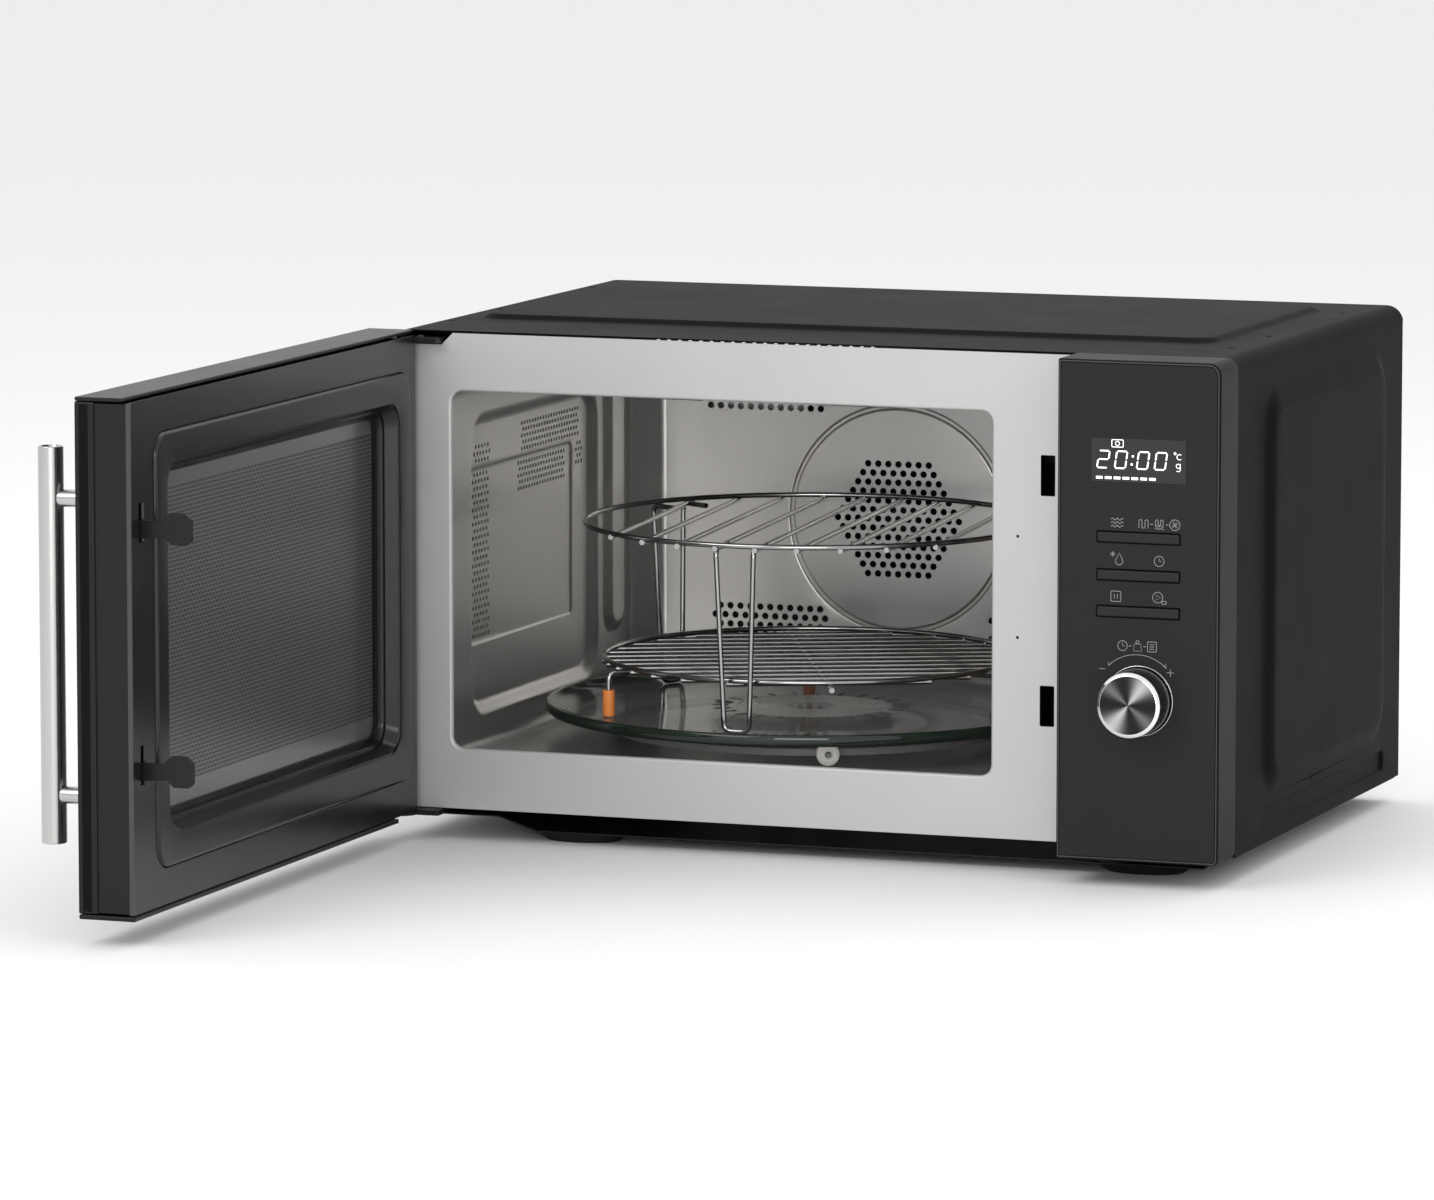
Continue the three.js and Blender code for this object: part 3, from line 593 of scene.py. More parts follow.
def make_finishes(s):
    """Every finish by name, from the sizes and colours in the panel."""
    black, steel = tuple(s.coat_colour), tuple(s.steel_colour)
    made = {
        "powder_black": surface(
            "Powder coat black", tone(black, 0.6), 0.5, grain=1100.0, depth=0.025, sheen=0.025
        ),
        "panel_black": surface(
            "Control face black", tone(black, 1.9), 0.5, grain=1500.0, depth=0.015, sheen=0.17
        ),
        "rim_black": surface(
            "Moulded rim black", tone(black, 0.7), 0.42, grain=800.0, depth=0.02, sheen=0.06
        ),
        "moulded_black": surface(
            "Moulded black", tone(black, 0.9), 0.38, grain=700.0, depth=0.03, sheen=0.25
        ),
        "enamel_black": surface(
            "Enamelled door black", tone(black, 0.9), 0.24, grain=500.0, depth=0.010, mottle=0.05,
            sheen=0.42
        ),
        # Light grey steel: the door's real edge flange, and the painted highlight line round the
        # control face.
        "edge_steel_and_highlight": surface(
            "Edge flange and painted highlight", (0.05, 0.05, 0.05), 0.4, 0.3, grain=500.0, depth=0.01
        ),
        # Near-black painted shade: the strip for the door edge's groove and the cups behind the
        # latch slots.
        "painted_shade_black": surface(
            "Painted shade black", tone(black, 0.25), 0.5, grain=700.0, depth=0.03, sheen=0.1
        ),
        "key_black": surface(
            "Key black", tone(black, 1.5), 0.42, grain=1300.0, depth=0.02, sheen=0.25
        ),
        "face_steel": surface(
            "Front plate steel", (0.50, 0.50, 0.495), 0.45, 0.35, grain=260.0, depth=0.008,
            mottle=0.03, grain_way=(1.0, 1.0, 5.0)
        ),
        "cavity_steel": surface(
            "Cavity steel", steel, 0.34, 0.9, grain=420.0, depth=0.008, mottle=0.04,
            grain_way=(5.0, 1.0, 1.0)
        ),
        "wire_chrome": surface(
            "Plated wire", (0.36, 0.355, 0.35), 0.13, 1.0, grain=600.0, depth=0.01, mottle=0.08,
            blotch=90.0
        ),
        "handle_chrome": surface(
            "Satin handle", (0.50, 0.50, 0.49), 0.22, 1.0, grain=300.0, depth=0.01, mottle=0.05,
            grain_way=(6.0, 6.0, 0.4)
        ),
        "knob_side": surface("Knob side", (0.16, 0.16, 0.17), 0.26, 1.0, grain=900.0, depth=0.01),
        "knob_face": spun_metal_painted_highlights("Knob face painted highlights", (0.022, 0.022, 0.023), (0.50, 0.50, 0.49)),
        "bright_ring": surface(
            "Bright ring", (0.88, 0.88, 0.88), 0.14, 1.0, grain=900.0, depth=0.005, mottle=0.04
        ),
        "symbol_grey": surface(
            "Printed symbols", (0.30, 0.30, 0.30), 0.6, grain=2400.0, depth=0.005, sheen=0.1
        ),
        "window_black": surface(
            "Display window", tone(black, 1.9), 0.16, grain=300.0, depth=0.002, sheen=0.4
        ),
        "door_gloss": surface(
            "Door glass black", (0.004, 0.004, 0.0045), 0.05, grain=40.0, depth=0.003, coat=0.3
        ),
        "silicone_orange": surface(
            "Orange silicone", tuple(s.sleeve_colour), 0.42, grain=900.0, depth=0.03, mottle=0.05
        ),
        "white_plastic": surface(
            "White plastic", (0.84, 0.83, 0.80), 0.32, grain=700.0, depth=0.02, mottle=0.04
        ),
        "grey_plastic": surface(
            "Grey plastic", (0.20, 0.20, 0.195), 0.4, grain=700.0, depth=0.02, mottle=0.06
        ),
        "soft_rubber": surface(
            "Soft rubber", (0.010, 0.010, 0.010), 0.7, grain=600.0, depth=0.05, sheen=0.2
        ),
        "heater": surface(
            "Heater sheath", (0.20, 0.19, 0.18), 0.45, 0.9, grain=700.0, depth=0.04, mottle=0.25,
            blotch=60.0
        ),
        # Blackened steel for the fan parts, and painted shade on the plate behind the low vent
        # holes.
        "dark_steel_and_shade": surface(
            "Blackened steel and painted shade", (0.012, 0.012, 0.012), 0.6, 0.2, grain=500.0, depth=0.03,
            mottle=0.3, sheen=0.1
        ),
        "galvanised": galvanised("Zinc steel", (0.50, 0.51, 0.52)),
        "screen": dotted_screen("Door screen", (0.17, 0.17, 0.17)),
        "tray_glass": tray_glass("Tray glass"),
        "digits": glowing("Lit segments", (1.0, 1.0, 1.0), s.display_glow),
        "copper": wound_copper("Copper winding"), "board": circuit_board("Circuit board"),
        "mica": mica_sheet("Mica sheet")
    }
    return {key: f.material for key, f in made.items()}


SHOP = {}


def finish(key):
    """A finish by its short name, made on first use."""
    if not SHOP:
        SHOP.update(make_finishes(bpy.context.scene.oven_settings))
    return SHOP[key]


# ---------------------------------------------------------------- settings


def colour(name, description, default):
    """A colour setting."""
    return FloatVectorProperty(
        name=name, description=description, subtype="COLOR", size=3, min=0.0, max=1.0,
        default=default
    )


def length(name, description, low, high, default):
    """A length setting, in metres."""
    return FloatProperty(
        name=name, description=description, subtype="DISTANCE", unit="LENGTH", min=low, max=high,
        default=default
    )


class OVEN_PG_settings(PropertyGroup):
    """Sizes and colours of the oven."""

    coat_colour: colour(
        "Coat Colour", "Colour of the painted cover and the black mouldings",
        (0.0075, 0.0075, 0.0075)
    )
    steel_colour: colour(
        "Cavity Steel Colour", "Colour of the satin steel inside the oven", (0.54, 0.53, 0.515)
    )
    sleeve_colour: colour(
        "Sleeve Colour", "Colour of the silicone sleeves on the low rack's feet",
        (0.95, 0.29, 0.065)
    )
    floor_colour: colour("Floor Colour", "Colour of the studio floor", (0.88, 0.88, 0.88))
    wire_radius: length("Wire Radius", "Radius of the rack wire", 0.001, 0.003, 0.0016)
    sheet_gauge: length(
        "Sheet Gauge", "Thickness of the cover and cavity sheet", 0.0004, 0.0015, 0.0008
    )
    edge_ease: length(
        "Edge Ease", "Width of the eased edges on mouldings", 0.0001, 0.0015, 0.0005
    )
    fan_hole_radius: length(
        "Fan Hole Radius", "Radius of the holes in front of the convection fan", 0.001, 0.003,
        0.00215
    )
    display_glow: FloatProperty(
        name="Display Glow", description="Brightness of the lit segments", min=0.0, max=10.0,
        default=1.6
    )
    knob_grooves: IntProperty(
        name="Knob Grooves", description="Turned grooves across the knob's face", min=4, max=60,
        default=42
    )


# ---------------------------------------------------------------- cabinet


class OVEN_OT_cover(Operator):
    """Folded sheet cover with its pressed panels"""

    bl_idname = "oven.cover"
    bl_label = "Cover"
    bl_options = {"REGISTER", "UNDO"}

    def execute(self, context):
        s = context.scene.oven_settings
        bm = bmesh.new()
        top, wide, deep, corner = 283.6, 513.0, 341.5, 10.0
        edge = 0.4

        def top_place(a, b, d):
            return (a, b, top + d)

        dimples = [
            (14.0, 58.1), (14.5, 133.4), (14.5, 287.2), (492, 129.9), (492, 55.3), (492, 282.1)
        ]
        pressed_sheet(
            bm, top_place,
            [(corner, 0), (wide - corner, 0), (wide - corner, deep), (corner, deep)],
            [
                pressing(inset_rounded(20, 76, 477, 305, 16), 7, 2.6),
                *[
                    ([(circle(x, y, 2.4, 12), 0), (circle(x, y, 1.5, 12), -0.7)], ()) for x,
                    y in dimples
                ]
            ]
        )
        for side in (0, 1):
            x_out = edge if side == 0 else wide - edge
            way = -1 if side == 0 else 1

            def side_place(a, b, d, x_out=x_out, way=way):
                return (x_out + way * d, a, b)

            panel = pressing(inset_rounded(50, 26, 304, 263, 26), 15, 4.2)
            slot = pressing(inset_rounded(49, 7, 308, 21, 5), 2.2, -1.8, steps=3)
            pin = ([(circle(154, 24.6, 1.5, 10), 0), (circle(154, 24.6, 1.2, 10), -1)], ())
            pressed_sheet(
                bm, side_place, [(0, 0), (deep, 0), (deep, top - corner), (0, top - corner)],
                [panel, slot, pin] if side else [panel, slot]
            )
            bm.verts.ensure_lookup_table()
            x_bend = corner if side == 0 else wide - corner
            ends = [
                v for v in bm.verts if abs(v.co.x - x_bend) < 1e-4 and abs(v.co.z - top) < 1e-4
                and (abs(v.co.y) < 1e-4 or abs(v.co.y - deep) < 1e-4)
            ]
            fold = [e for e in bm.edges if e.verts[0] in ends and e.verts[1] in ends]
            spun = bmesh.ops.spin(
                bm, geom=fold + ends, cent=(x_bend, 0, top - corner), axis=(0, 1, 0),
                angle=math.radians(90) * way, steps=7, use_duplicate=False
            )
            for v in spun["geom_last"]:
                if isinstance(v, bmesh.types.BMVert):
                    v.co.x = x_out
                    v.co.z = top - corner
        make_piece(
            bm, "cabinet_cover", "powder_black", "cabinet", ("outer_cover",),
            wall=s.sheet_gauge / MM, smooth=50
        )
        return {"FINISHED"}


class OVEN_OT_base(Operator):
    """Base pan and its feet"""

    bl_idname = "oven.base"
    bl_label = "Base and Feet"
    bl_options = {"REGISTER", "UNDO"}

    def execute(self, context):
        softened("base_pan", "base_tray", "moulded_black", "cabinet", 0.3)
        for place in ("front_left", "front_right", "rear_left", "rear_right"):
            softened(
                f"foot_{place}", f"moulded_foot_{place}", "soft_rubber", "cabinet", 0.9
            )
        return {"FINISHED"}


class OVEN_OT_rear(Operator):
    """Rear panel with vents, fan housing cover, gland and screws"""

    bl_idname = "oven.rear"
    bl_label = "Rear Panel"
    bl_options = {"REGISTER", "UNDO"}

    def execute(self, context):
        s = context.scene.oven_settings
        bm = bmesh.new()
        rib = pressing(
            inset_rounded(378, 118, 498, 250, 8), 3, 0.9,
            holes(staggered(389, 150, 14, 11, 7.0), 2.3, 8)
        )
        pressed_sheet(
            bm, lambda a, b, d: (a, 338.6 + d, b), rounded(1.6, 0.4, 511.4, 282.2, (2, 2, 9, 9)),
            [
                rib,
                pressing(
                    inset_rounded(386, 24, 452, 92, 8), 3, 0.9,
                    holes(staggered(392, 34, 8, 9, 7.0), 2.3, 8)
                ),
                pressing(
                    inset_rounded(30, 226, 190, 266, 8), 3, 0.9,
                    holes(staggered(38, 234, 21, 5, 7.0), 2.3, 8)
                ),
                pressing(inset_rounded(24, 16, 120, 74, 5), 2, -0.6)
            ]
        )
        make_piece(
            bm, "rear_sheet", "galvanised", "cabinet", ("rear_panel",),
            wall=s.sheet_gauge / MM, smooth=50
        )
        bm = bmesh.new()

        def can(k):
            return rounded(141 + k, 84 + k, 263 - k, 206 - k, 24 - k * 0.6)

        pressed_sheet(
            bm, lambda a, b, d: (a, 339.9 + d, b), rounded(133, 76, 271, 214, 24),
            [
                (
                    [
                        (can(0), 0), (can(1.2), 0.8), (can(2.2), 3), (can(5.5), 19.5),
                        (can(7), 22), (can(10), 23.2)
                    ],
                    holes(hexagon_field(*FAN, 8.0, 9, 9), 2.4, 8)
                )
            ]
        )
        make_piece(
            bm, "rear_motor_can", "galvanised", "cabinet", ("rear_motor_cover",),
            wall=s.sheet_gauge / MM, smooth=50
        )
        softened("cord_gland", "cord_bushing", "soft_rubber", "cabinet", 0.6)
        screws(
            [
                (12, 340, 12), (256, 340, 12), (501, 340, 12), (10, 340, 150), (503, 340, 150),
                (14, 340, 270), (256, 340, 274), (499, 340, 270), (137, 341, 210),
                (267, 341, 210), (137, 341, 80), (267, 341, 80)
            ],
            (0, 1, 0), "rear_screws", "galvanised", "cabinet"
        )
        return {"FINISHED"}


class OVEN_OT_front_plate(Operator):
    """Steel front plate round the opening"""

    bl_idname = "oven.front_plate"
    bl_label = "Front Plate"
    bl_options = {"REGISTER", "UNDO"}

    def execute(self, context):
        s = context.scene.oven_settings
        bm = bmesh.new()
        outline = [
            (1.4, 3.7), (416.9, 3.7), (416.9, 282.6), (37.4, 282.6), (30.5, 275.6), (1.4, 275.6)
        ]
        mouth = [
            (rounded(34.6, 37.6, 368.9, 250.4, 8.4), 0.0),
            (rounded(35.3, 38.3, 368.2, 249.7, 7.7), 0.25),
            (rounded(35.8, 38.8, 367.7, 249.2, 7.2), 0.8), (rounded(36, 39, 367.5, 249, 7), 2.2)
        ]
        slots = [([(rounded(396.5, z, 405.2, z + 23.4, 0.8, 3), 0.0)], None) for z in SLOT_FEET]
        dots = [([(circle(x, z, 0.9, 10), 0.0)], None) for x, z in ((383, 120), (383, 178))]
        pressed_sheet(
            bm, lambda a, b, d: (a, 0.4 + d, b), outline, [(mouth, None), *slots, *dots]
        )
        make_piece(
            bm, "front_sheet", "face_steel", "cabinet", ("front_plate",),
            wall=s.sheet_gauge / MM, smooth=50
        )
        # Cups behind the latch slots, coloured near-black as painted shade so the slots read
        # dark.
        bm = bmesh.new()
        for z in SLOT_FEET:
            pressed_sheet(
                bm, lambda a, b, d: (a, 1.2 + d, b), rounded(394.5, z - 2, 407.2, z + 25.4, 1, 3),
                [
                    (
                        [
                            (rounded(396.2, z - 0.3, 405.5, z + 23.7, 0.8, 3), 0.0),
                            (rounded(396.2, z - 0.3, 405.5, z + 23.7, 0.8, 3), 6.0)
                        ],
                        None
                    )
                ]
            )
        make_piece(bm, "latch_slot_cups", "painted_shade_black", "cabinet", wall=0.5)
        return {"FINISHED"}


def corner_fold(bm, line, centre, axis, turn, steps=6):
    """A quarter fold swept from one straight edge."""
    verts = [bm.verts.new(p) for p in line]
    edge = bm.edges.new(verts)
    bmesh.ops.spin(
        bm, geom=[*verts, edge], cent=centre, axis=axis, angle=math.radians(turn), steps=steps,
        use_duplicate=False
    )


CAVITY = {"x0": 34.0, "x1": 369.5, "z0": 33.0, "z1": 251.0, "front": 1.6, "back": 300.0}
FOLD = 9.0


class OVEN_OT_cavity(Operator):
    """Cavity walls with their pressings, perforations and fan grille"""

    bl_idname = "oven.cavity"
    bl_label = "Cavity"
    bl_options = {"REGISTER", "UNDO"}

    def execute(self, context):
        s = context.scene.oven_settings
        x0, x1, z0, z1 = (CAVITY[k] for k in ("x0", "x1", "z0", "z1"))
        front, back = CAVITY["front"], CAVITY["back"]
        half = s.sheet_gauge / MM / 2
        bm = bmesh.new()
        for side in (0, 1):
            x_wall = x0 - half if side == 0 else x1 + half
            way = -1 if side == 0 else 1

            def wall_place(a, b, d, x_wall=x_wall, way=way):
                return (x_wall + way * d, a, b)

            column = staggered(54.5, 97.5, 6, 28, 4.8)
            corner_holes = staggered(220.5, 184.0, 3, 4, 4.4)
            upper = staggered(131, 201.4, 22, 5, 4.4)
            lower = staggered(128, 177.6, 18, 5, 4.4)
            deep = 5.0
            inner = pressing(
                inset_rounded(48.2, 92, 214, 198, 4), 1.6, 1.1,
                holes([c for c in column if c[1] < 193.8] + lower, 1.45), base=deep, steps=2
            )
            if side == 0:
                top_holes = [c for c in column if c[1] > 200.6]
                recess_floor = [inner, *holes(top_holes + upper + corner_holes, 1.45)]
            else:
                recess_floor = [pressing(inset_rounded(80, 92, 206, 190, 10), 3, -1.5, base=deep)]
            recess = pressing(inset_rounded(36, 50, 246, 232, 22), 10, deep, recess_floor)
            bead = pressing(inset_rounded(252, 74, 288, 244, 14), 9, -4.0)
            pressed_sheet(
                bm, wall_place,
                [(front, z0 + FOLD), (back, z0 + FOLD), (back, z1 - FOLD), (front, z1 - FOLD)],
                [recess, bead]
            )
        lamp = pressing(inset_rounded(150, 110, 254, 212, 20), 8, -3.0, steps=4)
        slots = holes(staggered(318, 120, 6, 12, 7.0), 2.2, 8)
        pressed_sheet(
            bm, lambda a, b, d: (a, b, z1 + half + d),
            [(x0 + FOLD, front), (x1 - FOLD, front), (x1 - FOLD, back), (x0 + FOLD, back)],
            [lamp, *slots]
        )
        pressed_sheet(
            bm, lambda a, b, d: (a, b, z0 - half - d),
            [(x0 + FOLD, front), (x1 - FOLD, front), (x1 - FOLD, back), (x0 + FOLD, back)],
            [
                pressing(
                    lambda k: circle(*TURNTABLE, 108 - k, 48), 3, 0.6,
                    (([(circle(*TURNTABLE, 12, 24), None)], None),), steps=3
                )
            ]
        )
        for x_bend, turn_down, turn_up in ((x0 + FOLD, 90, -90), (x1 - FOLD, -90, 90)):
            for z_flat, z_bend, turn in (
                (z0 - half, z0 + FOLD, turn_down), (z1 + half, z1 - FOLD, turn_up)
            ):
                corner_fold(
                    bm, [(x_bend, front, z_flat), (x_bend, back, z_flat)], (x_bend, 0, z_bend),
                    (0, 1, 0), turn
                )
        # The flat panels stop a fold radius short of each corner, so the folds
        # are swept a little wide and drawn on to the walls' own edges.
        for v in bm.verts:
            for z_bend in (z0 + FOLD, z1 - FOLD):
                if abs(v.co.z - z_bend) < 0.01:
                    if abs(v.co.x - (x0 - half)) < 0.6 and v.co.y in (front, back):
                        v.co.x = x0 - half
                    if abs(v.co.x - (x1 + half)) < 0.6 and v.co.y in (front, back):
                        v.co.x = x1 + half
        make_piece(
            bm, "cavity_walls", "cavity_steel", "cabinet", ("cavity_liner",),
            wall=s.sheet_gauge / MM, smooth=50
        )

        bm = bmesh.new()
        wall = 319.6

        def back_place(a, b, d):
            return (a, wall + d, b)

        fan_radius = s.fan_hole_radius / MM
        groove = (
            [
                (circle(*FAN, 71.5, 96), 0.0), (circle(*FAN, 70.6, 96), 0.5),
                (circle(*FAN, 69.9, 96), 1.5), (circle(*FAN, 68.2, 96), 1.5),
                (circle(*FAN, 67.4, 96), 0.5), (circle(*FAN, 66.4, 96), 0.0)
            ],
            holes(hexagon_field(*FAN, 6.5, 13, 13), fan_radius, 10)
        )
        strips = [
            *staggered(80, 211, 12, 3, 6.5), *staggered(83, 70.5, 12, 4, 6.5),
            *staggered(262, 74, 6, 4, 6.5)
        ]
        rim = [
            (rounded(x0 - half, z0 - half, x1 + half, z1 + half, FOLD), back - wall),
            (rounded(x0 + 3, z0 + 1.2, x1 - 3, z1 - 1.2, FOLD), back + 3.0 - wall),
            (rounded(x0 + 12, z0 + 6, x1 - 12, z1 - 6, FOLD), -3.0),
            (rounded(x0 + 15, z0 + 8.5, x1 - 15, z1 - 8.5, FOLD), -0.8)
        ]
        loops = [ring(bm, back_place, p, d) for p, d in rim]
        for near, far in zip(loops, loops[1:]):
            bmesh.ops.bridge_loops(bm, edges=near + far)
        floor_ring = rounded(x0 + 17, z0 + 10.5, x1 - 17, z1 - 10.5, FOLD)
        last = ring(bm, back_place, floor_ring, 0.0)
        bmesh.ops.bridge_loops(bm, edges=loops[-1] + last)
        fill_floor(bm, back_place, last, [groove, *holes(strips, 2.15, 10)], 0.0)
        # Painted shade: a near-black plate just behind the low vent holes, so the holes read
        # dark.
        shade_plate = bmesh.new()
        bar(shade_plate, rounded(74, 62, 160, 98, 3), lambda a, b, d: (a, d, b), 322.2, 323.0, 0.2)
        make_piece(shade_plate, "vent_shade_plate", "dark_steel_and_shade", "cabinet")
        make_piece(
            bm, "cavity_back_wall", "cavity_steel", "cabinet", ("cavity_back",),
            wall=s.sheet_gauge / MM, smooth=50
        )
        return {"FINISHED"}


class OVEN_OT_cavity_fittings(Operator):
    """Waveguide cover and grill heater inside the cavity"""

    bl_idname = "oven.cavity_fittings"
    bl_label = "Cavity Fittings"
    bl_options = {"REGISTER", "UNDO"}

    def execute(self, context):
        for node, key, slot in (
            ("waveguide_cover", "mica", "mica"), ("grill_heater", "heater", "zinc_steel")
        ):
            softened(node, f"{node}_inside", key, "cabinet", 0.2)
        return {"FINISHED"}


# ---------------------------------------------------------------- turntable


class OVEN_OT_tray(Operator):
    """Glass turntable, its drive coupler and the roller ring"""

    bl_idname = "oven.tray"
    bl_label = "Tray and Rollers"
    bl_options = {"REGISTER", "UNDO"}

    def execute(self, context):
        bottom, top, rim = 47.2, 51.0, 55.6
        ripple = []
        for r in range(46, 14, -1):
            ripple.append((r, top + 0.35 * (0.5 + 0.5 * math.sin(r * 1.57))))
        profile = [
            (0, bottom), (20, bottom), (22, bottom - 0.2), (24, bottom), (138, bottom),
            (146, bottom + 0.4), (153, bottom + 1.0), (156.3, bottom + 1.9),
            (157.5, bottom + 3.6), (157.5, bottom + 6.6), (157.0, bottom + 7.9), (155.8, rim),
            (154.2, rim - 0.5), (151.5, rim - 1.9), (146, top + 1.5), (139, top + 0.45),
            (131, top), (48, top), *ripple, (12, top), (0, top)
        ]
        bm = turned(profile, (*TURNTABLE, 0), steps=144)
        teeth = bmesh.new()
        for i in range(24):
            a = TAU * i / 24
            rib = turned(
                [(0, -5.0), (0.55, -4.8), (0.8, -4.0), (0.8, 4.0), (0.55, 4.8), (0, 5.0)],
                steps=8, axis="X"
            )
            rib.transform(Matrix.Diagonal((1, 1, 0.55, 1)))
            rib.transform(
                Matrix.Translation(
                    (TURNTABLE[0] + 54 * math.cos(a), TURNTABLE[1] + 54 * math.sin(a), top + 0.05)
                ) @ Matrix.Rotation(a, 4, "Z")
            )
            join(teeth, rib)
        make_piece(
            bm, "glass_turntable", "tray_glass", "turntable", ("glass_tray",),
            smooth=60, weighted=False
        )
        make_piece(
            teeth, "glass_turntable_ribs", "tray_glass", "turntable", weighted=False
        )
        softened(
            "drive_coupler", "turntable_coupler", "grey_plastic", "turntable",
            0.4
        )
        softened(
            "roller_carrier", "roller_ring_frame", "grey_plastic", "roller_ring",
            0.5
        )
        for i, turn in enumerate((-66, 54, 174)):
            a = math.radians(turn)
            way = Vector((math.cos(a), math.sin(a), 0))
            middle = Vector((*TURNTABLE, 40.1)) + way * 124
            wheel = [
                (1.9, -3.5), (6.0, -3.5), (6.6, -3.1), (6.8, -2.4), (6.8, 2.4), (6.6, 3.1),
                (6.0, 3.5), (5.0, 3.5), (4.6, 2.7), (3.2, 2.7), (2.9, 3.5), (1.9, 3.5)
            ]
            lay = Vector((0, 0, 1)).rotation_difference(way).to_matrix().to_4x4()
            make_piece(
                turned(closed_ring(wheel), middle, lay, steps=40), f"roller_tyre_{i + 1}",
                "white_plastic", f"roller_{i + 1}", (f"roller_wheel_{i + 1}",)
            )
        return {"FINISHED"}


def about_turntable(radius, degrees, z):
    """A point round the turntable's axis."""
    a = math.radians(degrees)
    return (TURNTABLE[0] + radius * math.cos(a), TURNTABLE[1] + radius * math.sin(a), z)


def rack_rods(ring_radius, z, degrees, pitch, count, overhang):
    """Parallel rods across a ring."""
    a = math.radians(degrees)
    along, across = Vector((math.cos(a), math.sin(a), 0)), Vector((-math.sin(a), math.cos(a), 0))
    centre = Vector((*TURNTABLE, z))
    rods = []
    for i in range(count):
        off = (i - (count - 1) / 2) * pitch
        half = math.sqrt(max(1.0, ring_radius**2 - off**2)) + overhang
        middle = centre + across * off
        rods.append(([middle - along * half, middle + along * half], False))
    return rods


class OVEN_OT_racks(Operator):
    """High grill rack, low baking rack and the low rack's sleeves"""

    bl_idname = "oven.racks"
    bl_label = "Wire Racks"
    bl_options = {"REGISTER", "UNDO"}

    def execute(self, context):
        s = context.scene.oven_settings
        wire = s.wire_radius / MM
        hoop = [about_turntable(134.5, i * 360 / 120, 162.0) for i in range(120)]
        lines = [(hoop, True), *rack_rods(134.5, 160.0, 95.6, 24.4, 9, 2.0)]
        for turn in (-90, 30, 150):
            lines.append(
                (
                    bent(
                        [
                            about_turntable(112.0, turn - 6.0, 160.0),
                            about_turntable(133.5, turn - 5.0, 160.0),
                            about_turntable(129.5, turn - 3.4, 52.9),
                            about_turntable(129.5, turn + 3.4, 52.9),
                            about_turntable(133.5, turn + 5.0, 160.0),
                            about_turntable(112.0, turn + 6.0, 160.0)
                        ],
                        5.0
                    ),
                    False
                )
            )
        make_piece(
            curve_mesh(lines, wire, 3), "high_grill_rack", "wire_chrome", "turntable",
            ("high_rack",), weighted=False, smooth=60
        )
        hoop = [about_turntable(122.8, i * 360 / 120, 81.5) for i in range(120)]
        lines = [
            (hoop, True), *rack_rods(122.8, 79.5, 25.0, 18.0, 13, 1.5),
            *rack_rods(122.8, 77.5, 115.0, 1.0, 1, 4.0)
        ]
        for i, turn in enumerate((-138.5, -10.0, 110.0)):
            lines.append(
                (
                    bent(
                        [
                            about_turntable(90.0, turn, 77.5), about_turntable(128.5, turn, 77.5),
                            about_turntable(128.5, turn, 53.2)
                        ],
                        5.0
                    ),
                    False
                )
            )
            sleeve = [
                (0, 51.3), (3.1, 51.3), (3.5, 51.6), (3.6, 52.1), (3.6, 66.2), (3.4, 66.8),
                (3.0, 67.0), (1.7, 67.0)
            ]
            make_piece(
                turned(sleeve, about_turntable(128.5, turn, 0), steps=28),
                f"rack_foot_sleeve_{i + 1}", "silicone_orange", "turntable",
                (f"rack_sleeve_{i + 1}",)
            )
        make_piece(
            curve_mesh(lines, wire, 3), "low_baking_rack", "wire_chrome", "turntable",
            ("low_rack",), weighted=False, smooth=60
        )
        return {"FINISHED"}


# ---------------------------------------------------------------- door


class OVEN_OT_door_shell(Operator):
    """Door frame, outer glass and caps"""

    bl_idname = "oven.door_shell"
    bl_label = "Door Frame and Glass"
    bl_options = {"REGISTER", "UNDO"}

    def execute(self, context):
        s = context.scene.oven_settings
        ease = s.edge_ease / MM
        softened("door_frame", "door_moulding", "moulded_black", "door", ease)
        softened("door_glass", "door_outer_glass", "door_gloss", "door", 0.6)
        softened(
            "door_top_cap", "door_upper_trim", "moulded_black", "door", ease
        )
        softened(
            "door_bottom_cap", "door_lower_trim", "moulded_black", "door", ease
        )
        return {"FINISHED"}


